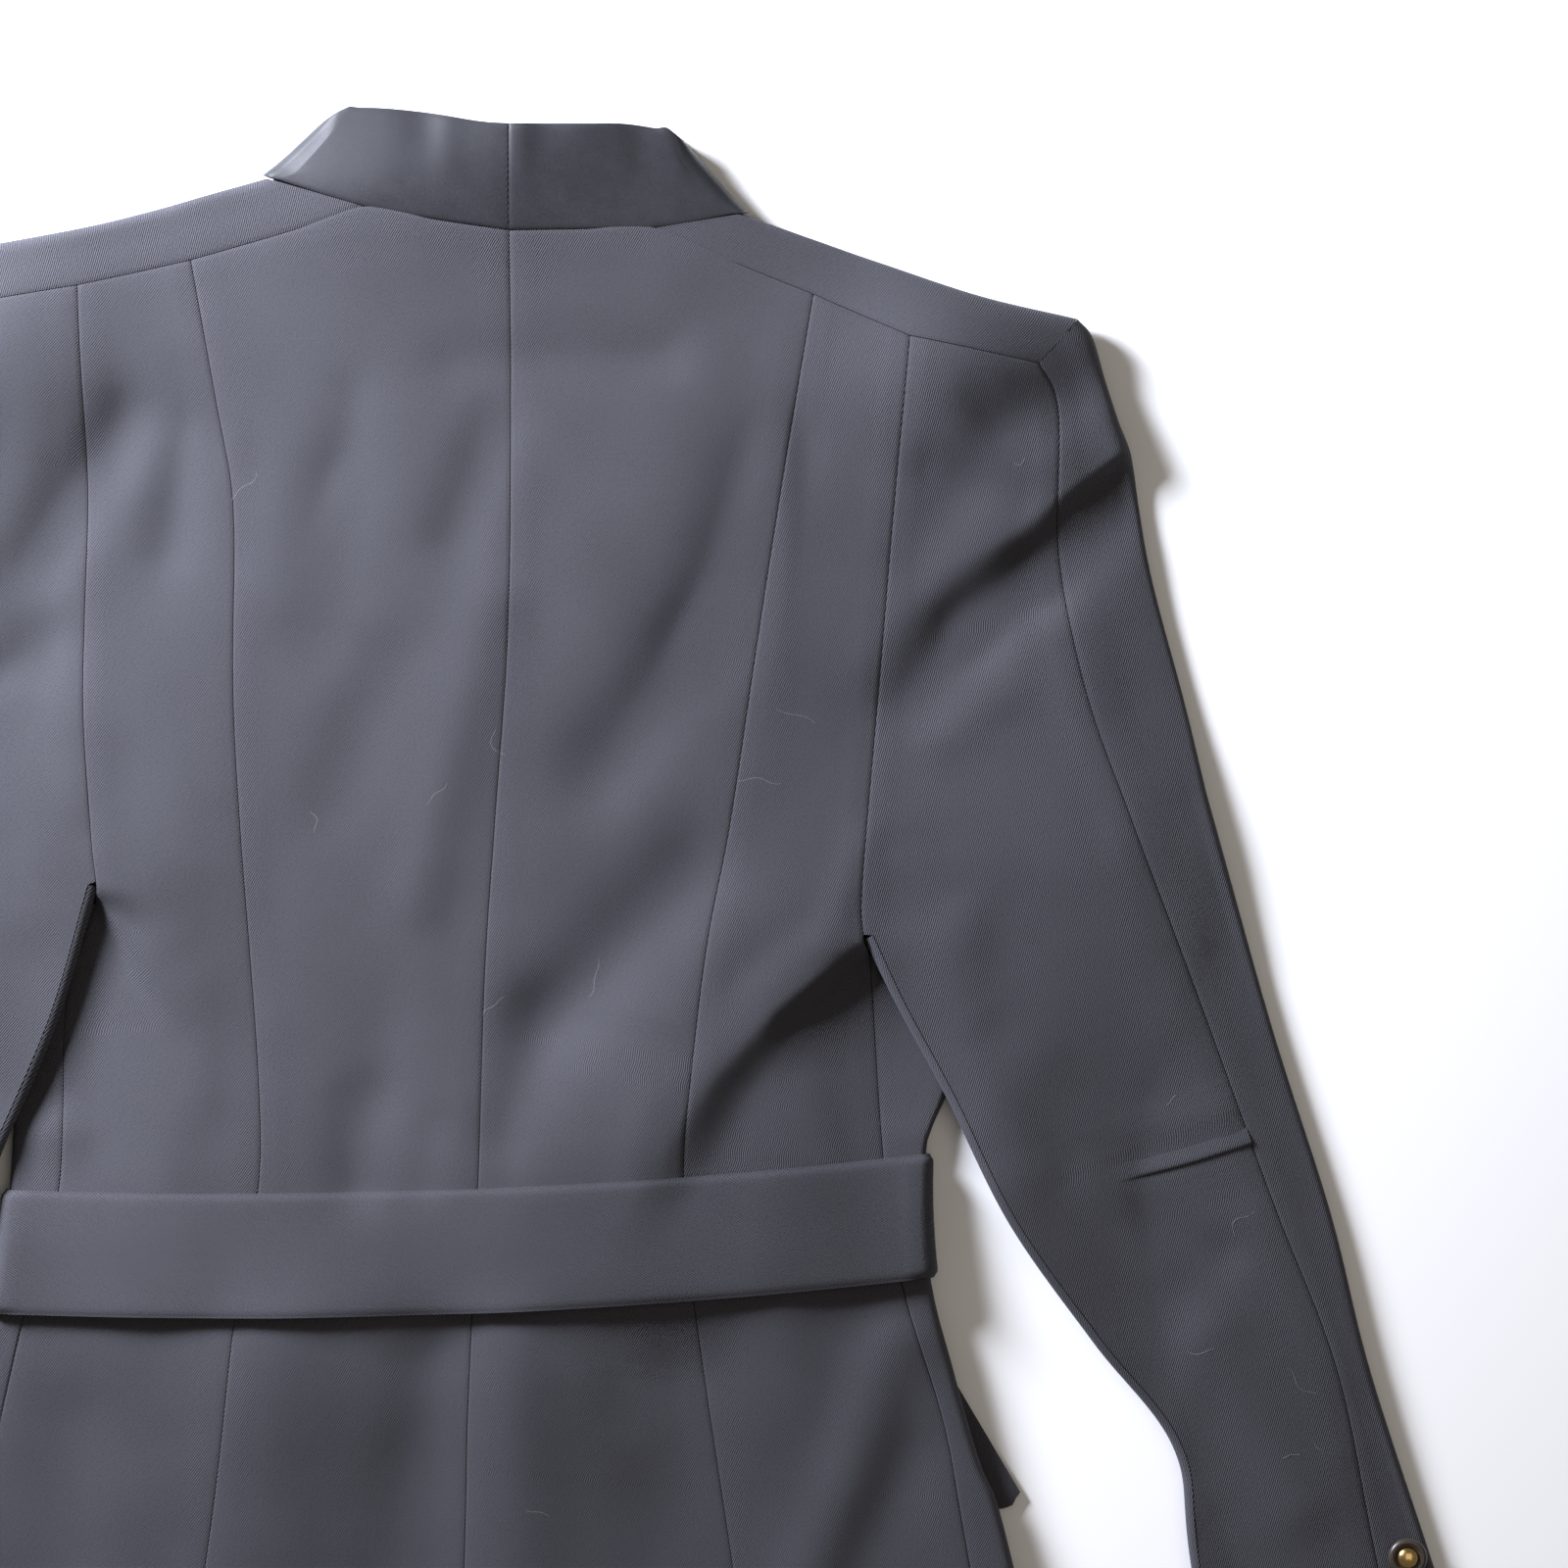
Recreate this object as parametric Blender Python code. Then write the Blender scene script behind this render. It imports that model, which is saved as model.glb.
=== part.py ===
"""Double-breasted belted blazer, laid face down on a flat surface.

The garment is drawn on the surface in millimetres: the nape is at (0, 0), X runs to the wearer's
right and Y towards the collar. Each cut piece is a thin wall. Its grid of points runs between two
seams, its height comes from one shared field, and it wraps round a fold edge where the garment does.
The finished part stands with the middle of its underside at the origin, +Z up, in metres.
"""

import bmesh
import bpy
import numpy as np

# Driving sizes, in millimetres
WALL = 1.6
COLLAR_WALL = 2.2
SEAM_GAP = 0.3
CROSSING_GAP = 0.9
OVERLAP_GAP = 1.2
FLAT_STACK = 6.2
PRESSED_STACK = 4.5
UNDER_LIFT = 3.3
OVERLAP = 80.0
HEM_Y = -690.0
HEM_SLOPE = 0.02
BACK_STRETCH = (-356.0, 44.5)
BELT_WALL = 1.8
BUTTON_LARGE = 11.5
FRONT_BUTTON_ROWS = (-285.0, -452.0, -530.0)
BUTTON_SMALL = 7.4
PAD_HEIGHT = 9.0
LEFT_SWING = 12.0

# Grid counts
ARM_ROWS = 7
SIDE_ROWS = 12
SLEEVE_ROWS = 11
ARC_STEPS = 4

# Seams and edges of each side, from the neck or shoulder down
RIGHT = {
    "neck": [(0, 0), (27, 0.6), (54, 1.2)],
    "neck_end": [(54, 1.2), (70, 4.4), (84.0, 8.8)],
    "collar_top": [(0, 39.5), (28, 39.6), (43.4, 39.1), (53, 37.5), (61.5, 34.8)],
    "collar_fold": (87.0, 11.2),
    "shoulder": [(86.0, 6.6), (101.4, 1.1), (137.6, -11.6), (173.8, -23.9), (210, -32.2)],
    "yoke": [(54, 1.2), (86.9, -13), (112.2, -23.2), (147.7, -39.1), (195.5, -49.2)],
    "princess": [(112.2, -23.2), (101.4, -88.3), (92.3, -146.2), (81.5, -218.6), (73.1, -262.1),
                 (67, -312.8), (64.4, -349), (68.1, -394.2), (82.5, -493.8), (112, -690)],
    "armhole": [(147.7, -39.1), (141.9, -102.8), (136.5, -168), (130.3, -240.4), (130.6, -261.7)],
    "side": [(133.2, -267.5), (138.3, -345.4), (144.8, -388.8), (160.4, -440.6),
             (169.8, -492.3), (206, -690)],
    "edge": [(187, -262), (161.1, -320.7), (153.9, -341), (155.4, -385.2), (164.2, -421.2),
             (173.6, -454.3), (186.4, -493.8), (228, -690)],
    "front_armhole": [(193.5, -59), (176, -110), (165, -170), (161, -220), (163, -256)],
    "front_side": [(162, -266), (134, -341), (136, -385), (152, -440), (165, -494), (205, -690)],
    "fold": [(130.9, -261.7), (143.7, -287.4), (161.5, -320.4), (184.5, -366.7), (215.8, -410.9),
             (245.4, -449.8), (252, -493.8), (270, -611)],
    "elbow": [(195.5, -49.2), (202.7, -66.6), (203, -118), (213, -170), (231, -221)],
    "elbow_low": [(231, -221), (254.7, -283.4), (282.4, -359.3), (306.3, -422.1), (321.1, -493.8),
                  (344, -594.5)],
    "outer": [(210, -32.2), (215.4, -39.5), (227, -84.7), (238.9, -139), (258, -208)],
    "outer_low": [(258, -208), (282.4, -294.7), (304.1, -363.5), (318.6, -421.4), (342.1, -493.8),
                  (372.5, -588)],
    "flap": [(68, -426), (162, -421), (191.5, -471), (72, -484)],
}
LEFT = {
    "neck": [(0, 0), (-27, 3.8), (-53.6, 8.7)],
    "neck_end": [(-53.6, 8.7), (-72, 14.4), (-88.0, 20.9)],
    "collar_top": [(0, 39.5), (-30.8, 43.4), (-42, 45.2), (-50.7, 45.6), (-63.4, 43.8)],
    "collar_fold": (-91.0, 23.6),
    "shoulder": [(-90.0, 19.6), (-105, 15.6), (-132.9, 8), (-160.4, 1.4), (-212.3, -8.4)],
    "yoke": [(-53.6, 8.7), (-79.3, 0.4), (-118, -10.5), (-159.6, -19.9), (-199.7, -27.1)],
    "princess": [(-118, -10.5), (-107.9, -66.6), (-102.1, -102.8), (-102.1, -168), (-99.5, -218.6),
                 (-92.3, -312.8), (-92.3, -354.4), (-100.6, -399.6), (-112.2, -493.8), (-145, -690)],
    "armhole": [(-159.6, -19.9), (-156.4, -95.6), (-157.8, -168), (-154.5, -220), (-152, -242.2)],
    "side": [(-153.2, -248.5), (-164.3, -285.3), (-166.5, -353.7), (-179.2, -400.7),
             (-200, -494), (-243, -690)],
    "edge": [(-206, -243), (-186, -310), (-184.8, -350.8), (-190, -395), (-203, -440),
             (-222, -494), (-270, -690)],
    "front_armhole": [(-198, -38), (-184, -90), (-176, -150), (-173, -200), (-176, -237)],
    "front_side": [(-177, -247), (-165, -341), (-169, -395), (-184, -440), (-203, -494), (-248, -690)],
    "fold": [(-152, -242.2), (-166.5, -291), (-187.5, -341)],
    "flap": [(-94, -430), (-190, -428), (-222, -474), (-96, -488)],
}
CENTRE_BACK = [(0, 0), (0.4, -59.4), (-0.4, -146.2), (-5.4, -218.6), (-9.1, -276.6),
               (-11.2, -352.6), (-15.2, -439.5), (-16.7, -493.8), (-23.5, -690)]

# Where the right front's edge runs on the underside: the neckline, then the straight front edge
BREAK_Y = -250.0
SHOULDER_TILT = (0.9984, -0.0558)
SWING_PIVOT = (-182.0, -140.0)

# Folds of the cloth: a soft trough or ridge along a line, its half width and its height
FOLDS = [
    # x0, y0, x1, y1, half width, height
    (206, -106, 159, -146, 13, -2.5),
    (159, -146, 143, -168, 10, -2.0),
    (90, -135, 36, -197, 22, -2.2),
    (65, -229, -4, -291, 18, -2.4),
    (-4, -291, -11, -328, 13, -1.8),
    (-7, -88, -22, -164, 14, -1.6),
    (-22, -164, -40, -212, 14, -1.6),
    (-65, -62, -65, -150, 11, -1.3),
    (-141, -70, -177, -125, 13, -2.4),
    (-43, -47, 14, -47, 10, -1.2),
    (139, -200, 170, -190, 9, -1.5),
    (199, -215, 181, -248, 13, -2.0),
    (48, -300, 30, -345, 12, 1.8),
    (-56, -440, -62, -640, 22, -1.8),
    (22, -440, 26, -660, 24, 1.8),
    (84, -470, 96, -650, 22, -1.8),
    (-96, -430, -116, -640, 22, 1.6),
    (122, -440, 140, -620, 16, 1.6),
    (-155, -470, -190, -640, 18, -1.4),
    (225, -330, 262, -352, 10, -1.6),
    (214, -250, 246, -300, 14, 1.4),
    (262, -410, 292, -470, 14, 1.5),
    (285, -520, 330, -570, 14, 1.2),
]
# The steps from each armpit towards the waist: the cloth on the collar's side lies higher
RIGHT_STEP = [(136, -264), (101, -291), (80, -316), (60, -350)]
LEFT_STEP = [(-154, -245), (-130, -285), (-110, -330)]

CHARCOAL = (0.030, 0.031, 0.038)
SATIN = (0.035, 0.036, 0.046)


def smooth(low, high, value):
    """0 below low and 1 above high, with a soft turn at both; low may be the larger."""
    part = np.clip((np.asarray(value, float) - low) / (high - low), 0.0, 1.0)
    return part * part * (3.0 - 2.0 * part)


def curve(points, count):
    """count + 1 points evenly spaced along a smooth curve through the points (Catmull-Rom)."""
    knots = np.array(points, float)
    padded = np.vstack([2 * knots[0] - knots[1], knots, 2 * knots[-1] - knots[-2]])
    dense = []
    for index in range(len(knots) - 1):
        before, start, end, after = padded[index : index + 4]
        for part in np.linspace(0, 1, 24, endpoint=False):
            dense.append(0.5 * (2 * start + (end - before) * part
                                + (2 * before - 5 * start + 4 * end - after) * part**2
                                + (3 * start - before - 3 * end + after) * part**3))
    dense.append(knots[-1])
    dense = np.array(dense)
    length = np.concatenate([[0], np.cumsum(np.linalg.norm(np.diff(dense, axis=0), axis=1))])
    even = np.linspace(0, length[-1], count + 1)
    return np.stack([np.interp(even, length, dense[:, axis]) for axis in (0, 1)], axis=1)


def chain(*pieces):
    """Joins sampled curves end to end, keeping a shared end point once."""
    joined = [pieces[0]]
    for piece in pieces[1:]:
        shared = np.allclose(joined[-1][-1], piece[0], atol=1e-6)
        joined.append(piece[1:] if shared else piece)
    return np.vstack(joined)


def x_at(points, y):
    """The x of a seam at height y, for a seam that runs down the garment."""
    line = curve(points, 60)
    return np.interp(-np.asarray(y, float), -line[:, 1], line[:, 0])


def to_left(points):
    """Mirrors points of the right sleeve about the tilted body axis, and swings them to the body."""
    across = np.array(SHOULDER_TILT)
    along = np.array((-across[1], across[0]))
    points = np.array(points, float)
    side = points @ across
    down = points @ along
    mirrored = np.outer(-side, across) + np.outer(down, along)
    turn = np.radians(LEFT_SWING) * smooth(-60, -290, mirrored[:, 1])
    offset = mirrored - SWING_PIVOT
    turned = np.stack([offset[:, 0] * np.cos(turn) - offset[:, 1] * np.sin(turn),
                       offset[:, 0] * np.sin(turn) + offset[:, 1] * np.cos(turn)], axis=1)
    return turned + SWING_PIVOT


def complete_left():
    """Gives the left side the sleeve curves that it shares with the right sleeve."""
    low_fold = to_left(RIGHT["fold"][4:])
    LEFT["fold"] = LEFT["fold"] + [tuple(point) for point in low_fold]
    LEFT["elbow"] = [LEFT["yoke"][-1]] + [tuple(p) for p in to_left(RIGHT["elbow"][1:])]
    LEFT["elbow_low"] = [tuple(p) for p in to_left(RIGHT["elbow_low"])]
    LEFT["outer"] = [LEFT["shoulder"][-1]] + [tuple(p) for p in to_left(RIGHT["outer"][1:])]
    LEFT["outer_low"] = [tuple(p) for p in to_left(RIGHT["outer_low"])]


def centre_x(y):
    return x_at(CENTRE_BACK, np.minimum(y, 0))


def front_edge_x(y, sign):
    """The free edge of a front at height y: sign 1 for the right front, -1 for the left."""
    neck_x = 82.0 if sign > 0 else -86.0
    free = centre_x(y) - sign * OVERLAP
    share = np.clip((np.asarray(y, float) + 15) / (BREAK_Y + 15), 0, 1) ** 0.9
    return np.where(np.asarray(y) > BREAK_Y, neck_x + (centre_x(BREAK_Y) - sign * OVERLAP - neck_x) * share,
                    free)


def under(x, y):
    """Height of the fronts' underside: raised over buttons, lapels, flaps and belt, and on the
    surface beside the chest and along the hem."""
    side = np.abs(x - centre_x(y))
    chest = smooth(112, 130, side) * smooth(-336, -316, y)
    hem = smooth(-625, -660, y)
    buckle = smooth(95, 50, side) * smooth(-455, -415, y) * smooth(-300, -340, y)
    return UNDER_LIFT * (1 - chest) * (1 - hem) + 2.8 * buckle


def doubled(x, y):
    """1 where the left front lies over the right one, 0 elsewhere."""
    start = front_edge_x(y, 1)
    return smooth(start - 96, start - 70, x) * smooth(116, 100, x - centre_x(y)) * smooth(-40, -65, y)


def along(x, y, x0, y0, x1, y1, width):
    """1 on the segment, falling smoothly to 0 with the distance from it."""
    run = np.array([x1 - x0, y1 - y0], float)
    part = np.clip(((x - x0) * run[0] + (y - y0) * run[1]) / (run @ run), 0, 1)
    away = np.hypot(x - x0 - part * run[0], y - y0 - part * run[1])
    return np.exp(-((away / width) ** 2))


def step_side(x, y, line, sign):
    """1 on the collar's side of a step line, 0 on the hem's side, softer towards its low end."""
    best = np.full(np.shape(x), 1e9)
    value = np.zeros(np.shape(x))
    travelled = 0.0
    for (x0, y0), (x1, y1) in zip(line[:-1], line[1:]):
        run = np.array([x1 - x0, y1 - y0], float)
        length = np.hypot(*run)
        part = np.clip(((x - x0) * run[0] + (y - y0) * run[1]) / length**2, 0, 1)
        away = np.hypot(x - x0 - part * run[0], y - y0 - part * run[1])
        signed = sign * (run[0] * (y - y0) - run[1] * (x - x0)) / length
        soft = 2.6 + 0.13 * (travelled + part * length)
        here = smooth(-1.0, 1.0, signed / soft)
        nearer = away < best
        value = np.where(nearer, here, value)
        best = np.minimum(best, away)
        travelled += length
    return value


def relief(x, y):
    """The padded shoulders and the cloth's folds, shared by the body and the sleeves."""
    pads = PAD_HEIGHT * np.exp(-(((x - 185) / 42) ** 2) - (((y + 62) / 34) ** 2))
    pads = pads + PAD_HEIGHT * np.exp(-(((x + 190) / 42) ** 2) - (((y + 45) / 36) ** 2))
    for x0, y0, x1, y1, width, height in FOLDS:
        pads = pads + height * along(x, y, x0, y0, x1, y1, width)
    return pads


def armpit(x, y):
    """How much the cloth rises round each armpit."""
    right = 3.6 * np.exp(-(((x - 131) / 46) ** 2) - (((y + 258) / 52) ** 2))
    return right + 3.2 * np.exp(-(((x + 153) / 40) ** 2) - (((y + 240) / 46) ** 2))


def body_top(x, y):
    """Height of the back's outer face."""
    x = np.asarray(x, float)
    y = np.asarray(y, float)
    high = np.where(x > -40, step_side(x, y, RIGHT_STEP, -1), step_side(x, y, LEFT_STEP, 1))
    swell = 3.0 * np.exp(-(((x - 100) / 42) ** 2) - (((y + 262) / 42) ** 2))
    swell = swell + 2.0 * np.exp(-(((x + 130) / 34) ** 2) - (((y + 262) / 44) ** 2))
    press = pressed(x, y) * np.where(x > 0, smooth(-262.5, -267, y), smooth(-243, -247.5, y))
    floor = under(x, y)
    twice = doubled(x, y)
    top = floor + FLAT_STACK + 1.6 * twice + relief(x, y) + (armpit(x, y) + swell) * high - press
    collar_drop = 4.2 * smooth(6, 40, y - 0.1 * np.abs(x)) * smooth(96, 80, np.abs(x))
    return np.maximum(top, floor + PRESSED_STACK + 2.3 * twice) - collar_drop


def pressed(x, y):
    """How far a sleeve presses down the body's side where it lies over it."""
    edge_right = x_at(RIGHT["side"], y) - 6
    edge_left = x_at(LEFT["side"], y) + 6
    beyond = np.maximum(smooth(edge_right, edge_right + 8, x), smooth(edge_left, edge_left - 8, x))
    return 3.4 * beyond * smooth(-395, -360, y)


def sleeve_under(x, y):
    """Height of a sleeve's lower face: on the surface, or over the body's side where it crosses it."""
    x = np.asarray(x, float)
    y = np.asarray(y, float)
    right_edge = x_at(RIGHT["edge"], y)
    left_edge = x_at(LEFT["edge"], y)
    over = np.where(x > 0, smooth(right_edge + 66, right_edge + 32, x),
                    smooth(left_edge - 66, left_edge - 32, x))
    start = np.where(x > 0, -186.0, -166.0)
    rise = smooth(start, start - 52, y)
    return (body_low(x, y) + CROSSING_GAP) * over * rise


def body_low(x, y):
    """The back's outer face on the hem's side of the steps, which a sleeve lies on."""
    floor = under(x, y)
    twice = doubled(x, y)
    plain = floor + FLAT_STACK + 1.6 * twice + relief(x, y) - pressed(x, y)
    return np.maximum(plain, floor + PRESSED_STACK + 0.4 + 2.3 * twice)


def sleeve_top(x, y):
    """Height of a sleeve's upper face."""
    x = np.asarray(x, float)
    y = np.asarray(y, float)
    free = FLAT_STACK + relief(x, y) + armpit(x, y)
    near_right = smooth(158, 140, x) * (x > 0)
    near_left = smooth(-180, -162, x) * (x < 0)
    swell = 3.0 * np.exp(-(((x - 100) / 42) ** 2) - (((y + 262) / 42) ** 2)) * near_right
    swell = swell + 2.0 * np.exp(-(((x + 130) / 34) ** 2) - (((y + 262) / 44) ** 2)) * near_left
    return np.maximum(free + swell, sleeve_under(x, y) + FLAT_STACK)


def blend_rows(start, end, first, count):
    """A grid between two sampled seams, whose first row follows a given curve."""
    first = np.asarray(first)
    length = np.concatenate([[0], np.cumsum(np.linalg.norm(np.diff(first, axis=0), axis=1))])
    share = (length / length[-1])[None, :, None]
    straight = start[:, None, :] * (1 - share) + end[:, None, :] * share
    fade = ((1 - np.linspace(0, 1, count + 1)) ** 5)[:, None, None]
    return straight + fade * (first[None, :, :] - straight[:1])


def lift(points, height, wall):
    """Outer and inner points of a wall over flat points, its outer face at the given height."""
    outer = np.dstack([points, height])
    inner = np.dstack([points, height - wall])
    return outer, inner


def inset(grid, sides, amount=SEAM_GAP / 2):
    """Draws the named sides of a grid back along its own lines, which leaves the gap of a seam."""
    grid = grid.copy()
    ends = {"first": (0, 1, 0), "last": (-1, -2, 0), "start": (0, 1, 1), "end": (-1, -2, 1)}
    for side in sides:
        edge, neighbour, axis = ends[side]
        here = np.take(grid, edge, axis=axis)
        there = np.take(grid, neighbour, axis=axis)
        run = there - here
        moved = here + run / np.maximum(np.linalg.norm(run, axis=-1, keepdims=True), 1e-6) * amount
        if axis == 0:
            grid[edge] = moved
        else:
            grid[:, edge] = moved
    return grid


def wrap(edge, inward, top, low, wall, steps=ARC_STEPS):
    """Points round a fold edge, from the upper face to the lower one, for each row of the edge.
    The outer arc's radius is half the height between the faces, and the inner one is less by the wall."""
    radius = (top - low) / 2
    middle = (top + low) / 2
    centre = edge + inward * radius[:, None]
    outer = []
    inner = []
    for turn in np.linspace(np.pi / 2, -np.pi / 2, steps + 1):
        for faces, size in ((outer, radius), (inner, radius - wall)):
            flat = centre - inward * (size * np.cos(turn))[:, None]
            faces.append(np.column_stack([flat, middle + size * np.sin(turn)]))
    return np.stack(outer, axis=1), np.stack(inner, axis=1), centre


def strip(start, end, count, height, wall, upward=True):
    """A run of columns between two sampled lines, on the upper face or on the lower one."""
    share = np.linspace(0, 1, count + 1)[None, :, None]
    flat = start[:, None, :] * (1 - share) + end[:, None, :] * share
    face = height(flat[..., 0], flat[..., 1])
    outer = np.dstack([flat, face])
    inner = np.dstack([flat, face - wall if upward else face + wall])
    return outer, inner


def unit(vectors):
    return vectors / np.linalg.norm(vectors, axis=-1, keepdims=True)


def normals(line, sign):
    """Unit vectors square to a sampled line, to its left for sign 1."""
    run = np.gradient(line, axis=0)
    return unit(np.stack([-run[:, 1], run[:, 0]], axis=1)) * sign


def fabric(name, colour, roughness, metallic=0.0):
    material = bpy.data.materials.get(name) or bpy.data.materials.new(name)
    material.use_nodes = True
    shader = material.node_tree.nodes["Principled BSDF"]
    shader.inputs["Base Color"].default_value = (*colour, 1.0)
    shader.inputs["Roughness"].default_value = roughness
    shader.inputs["Metallic"].default_value = metallic
    return material


MADE = {}


def wall_solid(name, outer, inner, material, used=None, closed=False):
    """Makes a closed wall from two matching grids of points: both faces and every free side."""
    rows, columns = outer.shape[:2]
    used = np.ones((rows - 1, columns - 1), bool) if used is None else used
    mesh = bmesh.new()
    made = {}

    def corner(row, column, face):
        row = row % rows if closed else row
        key = (row, column, face)
        if key not in made:
            place = outer[row, column] if face else inner[row, column]
            made[key] = mesh.verts.new(place)
        return made[key]

    def taken(row, column):
        if closed:
            row %= rows
        inside = 0 <= row < used.shape[0] and 0 <= column < columns - 1
        return inside and used[row, column]

    for row in range(used.shape[0]):
        for column in range(columns - 1):
            if not used[row, column]:
                continue
            ring = [(row, column), (row + 1, column), (row + 1, column + 1), (row, column + 1)]
            mesh.faces.new([corner(*place, True) for place in ring])
            mesh.faces.new([corner(*place, False) for place in reversed(ring)])
            around = [(row, column - 1), (row + 1, column), (row, column + 1), (row - 1, column)]
            for side, other in enumerate(around):
                if taken(*other):
                    continue
                near, far = ring[side], ring[(side + 1) % 4]
                mesh.faces.new([corner(*far, True), corner(*near, True),
                                corner(*near, False), corner(*far, False)])
    bmesh.ops.triangulate(mesh, faces=mesh.faces[:])
    bmesh.ops.recalc_face_normals(mesh, faces=mesh.faces[:])
    finish(name, mesh, material)


def finish(name, mesh, material):
    data = bpy.data.meshes.new(name)
    mesh.to_mesh(data)
    mesh.free()
    thing = bpy.data.objects.new(name, data)
    bpy.context.scene.collection.objects.link(thing)
    data.materials.append(material)
    data.shade_smooth()
    data.set_sharp_from_angle(angle=np.radians(40))
    MADE[name] = thing


def seams_of(side):
    """Samples every seam of one side once, so that both pieces on a seam share its points."""
    table = RIGHT if side == "right" else LEFT
    line = {}
    line["neck"] = curve(table["neck"], 2)
    line["neck_end"] = curve(table["neck_end"], 2)
    yoke = table["yoke"]
    line["yoke_centre"] = curve(yoke[:3], 2)
    line["yoke_side"] = curve(yoke[2:4], 2)
    line["yoke_sleeve"] = curve(yoke[3:], 4)
    line["yoke"] = chain(line["yoke_centre"], line["yoke_side"], line["yoke_sleeve"])
    line["armhole"] = curve(table["armhole"], ARM_ROWS)
    line["side"] = curve(table["side"], SIDE_ROWS)
    line["outer_side"] = chain(line["armhole"], line["side"])
    down = (line["outer_side"][:, 1] - line["outer_side"][0, 1])
    down = down / down[-1]
    for name, points in (("princess", table["princess"]), ("centre", CENTRE_BACK)):
        top = points[0][1]
        y = top + (points[-1][1] - top) * down
        line[name] = np.column_stack([x_at(points, y), y])
    line["edge"] = np.column_stack([x_at(table["edge"], line["side"][:, 1]), line["side"][:, 1]])
    y = line["side"][:, 1]
    line["front_side"] = np.column_stack([x_at(table["front_side"], y), y])
    line["front_armhole"] = curve(table["front_armhole"], ARM_ROWS)
    line["fold"] = curve(table["fold"], SLEEVE_ROWS)
    line["elbow"] = chain(curve(table["elbow"], ARM_ROWS), curve(table["elbow_low"], SLEEVE_ROWS))
    line["outer"] = chain(curve(table["outer"], ARM_ROWS), curve(table["outer_low"], SLEEVE_ROWS))
    for name in ("centre", "princess", "side", "outer_side", "edge", "front_side"):
        line[name] = line[name].copy()
        low = line[name][:, 1] < -560
        share = np.where(low, (line[name][:, 1] + 560) / (HEM_Y + 560), 0)
        line[name][:, 1] += share * HEM_SLOPE * line[name][:, 0]
    return line


def back_pieces(side, line, cloth):
    """The centre back, the side back and the side panel that wraps round the body's edge."""
    top = chain(line["neck"], line["yoke_centre"])
    rows = len(line["outer_side"]) - 1
    flat = blend_rows(line["centre"], line["princess"], top, rows)
    flat = inset(flat, ("first", "start", "end"))
    outer, inner = lift(flat, body_top(flat[..., 0], flat[..., 1]), WALL)
    wall_solid("centre_back_" + side, outer, inner, cloth)
    flat = blend_rows(line["princess"], line["outer_side"], line["yoke_side"], rows)
    middle = (flat[:, :1] + flat[:, 1:2]) / 2
    last = (flat[:, 1:2] + flat[:, 2:]) / 2
    flat = np.concatenate([flat[:, :1], middle, flat[:, 1:2], last, flat[:, 2:]], axis=1)
    flat = inset(flat, ("first", "start", "end"))
    outer, inner = lift(flat, body_top(flat[..., 0], flat[..., 1]), WALL)
    wall_solid("side_back_" + side, outer, inner, cloth)


def side_panel(side, line, cloth):
    sign = 1 if side == "right" else -1
    inward = np.tile((-sign, 0.0), (len(line["edge"]), 1))
    guess = line["edge"] + inward * 3.0
    low = under(guess[:, 0], guess[:, 1])
    top = body_top(guess[:, 0], guess[:, 1])
    arc_outer, arc_inner, centre = wrap(line["edge"], inward, top, low, WALL)
    near = line["side"] + np.array([sign * SEAM_GAP / 2, 0])
    far = line["front_side"] + np.array([sign * SEAM_GAP / 2, 0])
    upper, upper_in = strip(near, centre, 2, body_top, WALL)
    lower, lower_in = strip(centre, far, 2, under, WALL, upward=False)
    outer = np.concatenate([upper[:, :-1], arc_outer, lower[:, 1:]], axis=1)
    inner = np.concatenate([upper_in[:, :-1], arc_inner, lower_in[:, 1:]], axis=1)
    wall_solid("side_panel_" + side, outer, inner, cloth)


def yoke_piece(side, line, cloth):
    """The shoulder piece: it folds over the shoulder edge and ends at the front's shoulder seam."""
    sign = 1 if side == "right" else -1
    table = RIGHT if side == "right" else LEFT
    edge = curve(table["shoulder"], 8)
    inward = normals(edge, -sign)
    end = unit(line["yoke"][-1] - edge[-1])
    for row, share in ((-2, 0.5), (-1, 1.0)):
        inward[row] = unit(inward[row] * (1 - share) + end * share)
    guess = edge + inward * 4.0
    top = body_top(guess[:, 0], guess[:, 1])
    low = yoke_under(guess[:, 0], guess[:, 1])
    arc_outer, arc_inner, centre = wrap(edge, inward, top, low, WALL)
    far = centre + inward * 17.0
    upper, upper_in = strip(line["yoke"], centre, 2, body_top, WALL)
    lower, lower_in = strip(centre, far, 1, yoke_under, WALL, upward=False)
    outer = np.concatenate([upper[:, :-1], arc_outer, lower[:, 1:]], axis=1)
    inner = np.concatenate([upper_in[:, :-1], arc_inner, lower_in[:, 1:]], axis=1)
    line["shoulder_low"] = far
    line["front_armhole"] = curve([tuple(far[-1])] + table["front_armhole"][1:], ARM_ROWS)
    line["shoulder_end"] = (edge[-1], inward[-1])
    outer = inset(outer, ("start", "end", "first", "last"))
    inner = inset(inner, ("start", "end", "first", "last"))
    wall_solid("yoke_" + side, outer, inner, cloth)


def yoke_under(x, y):
    """The lower face at the shoulders rises a little with the pads."""
    return under(x, y) + 0.3 * relief(x, y) * smooth(-95, -60, y + 0.1 * np.abs(x))


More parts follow.
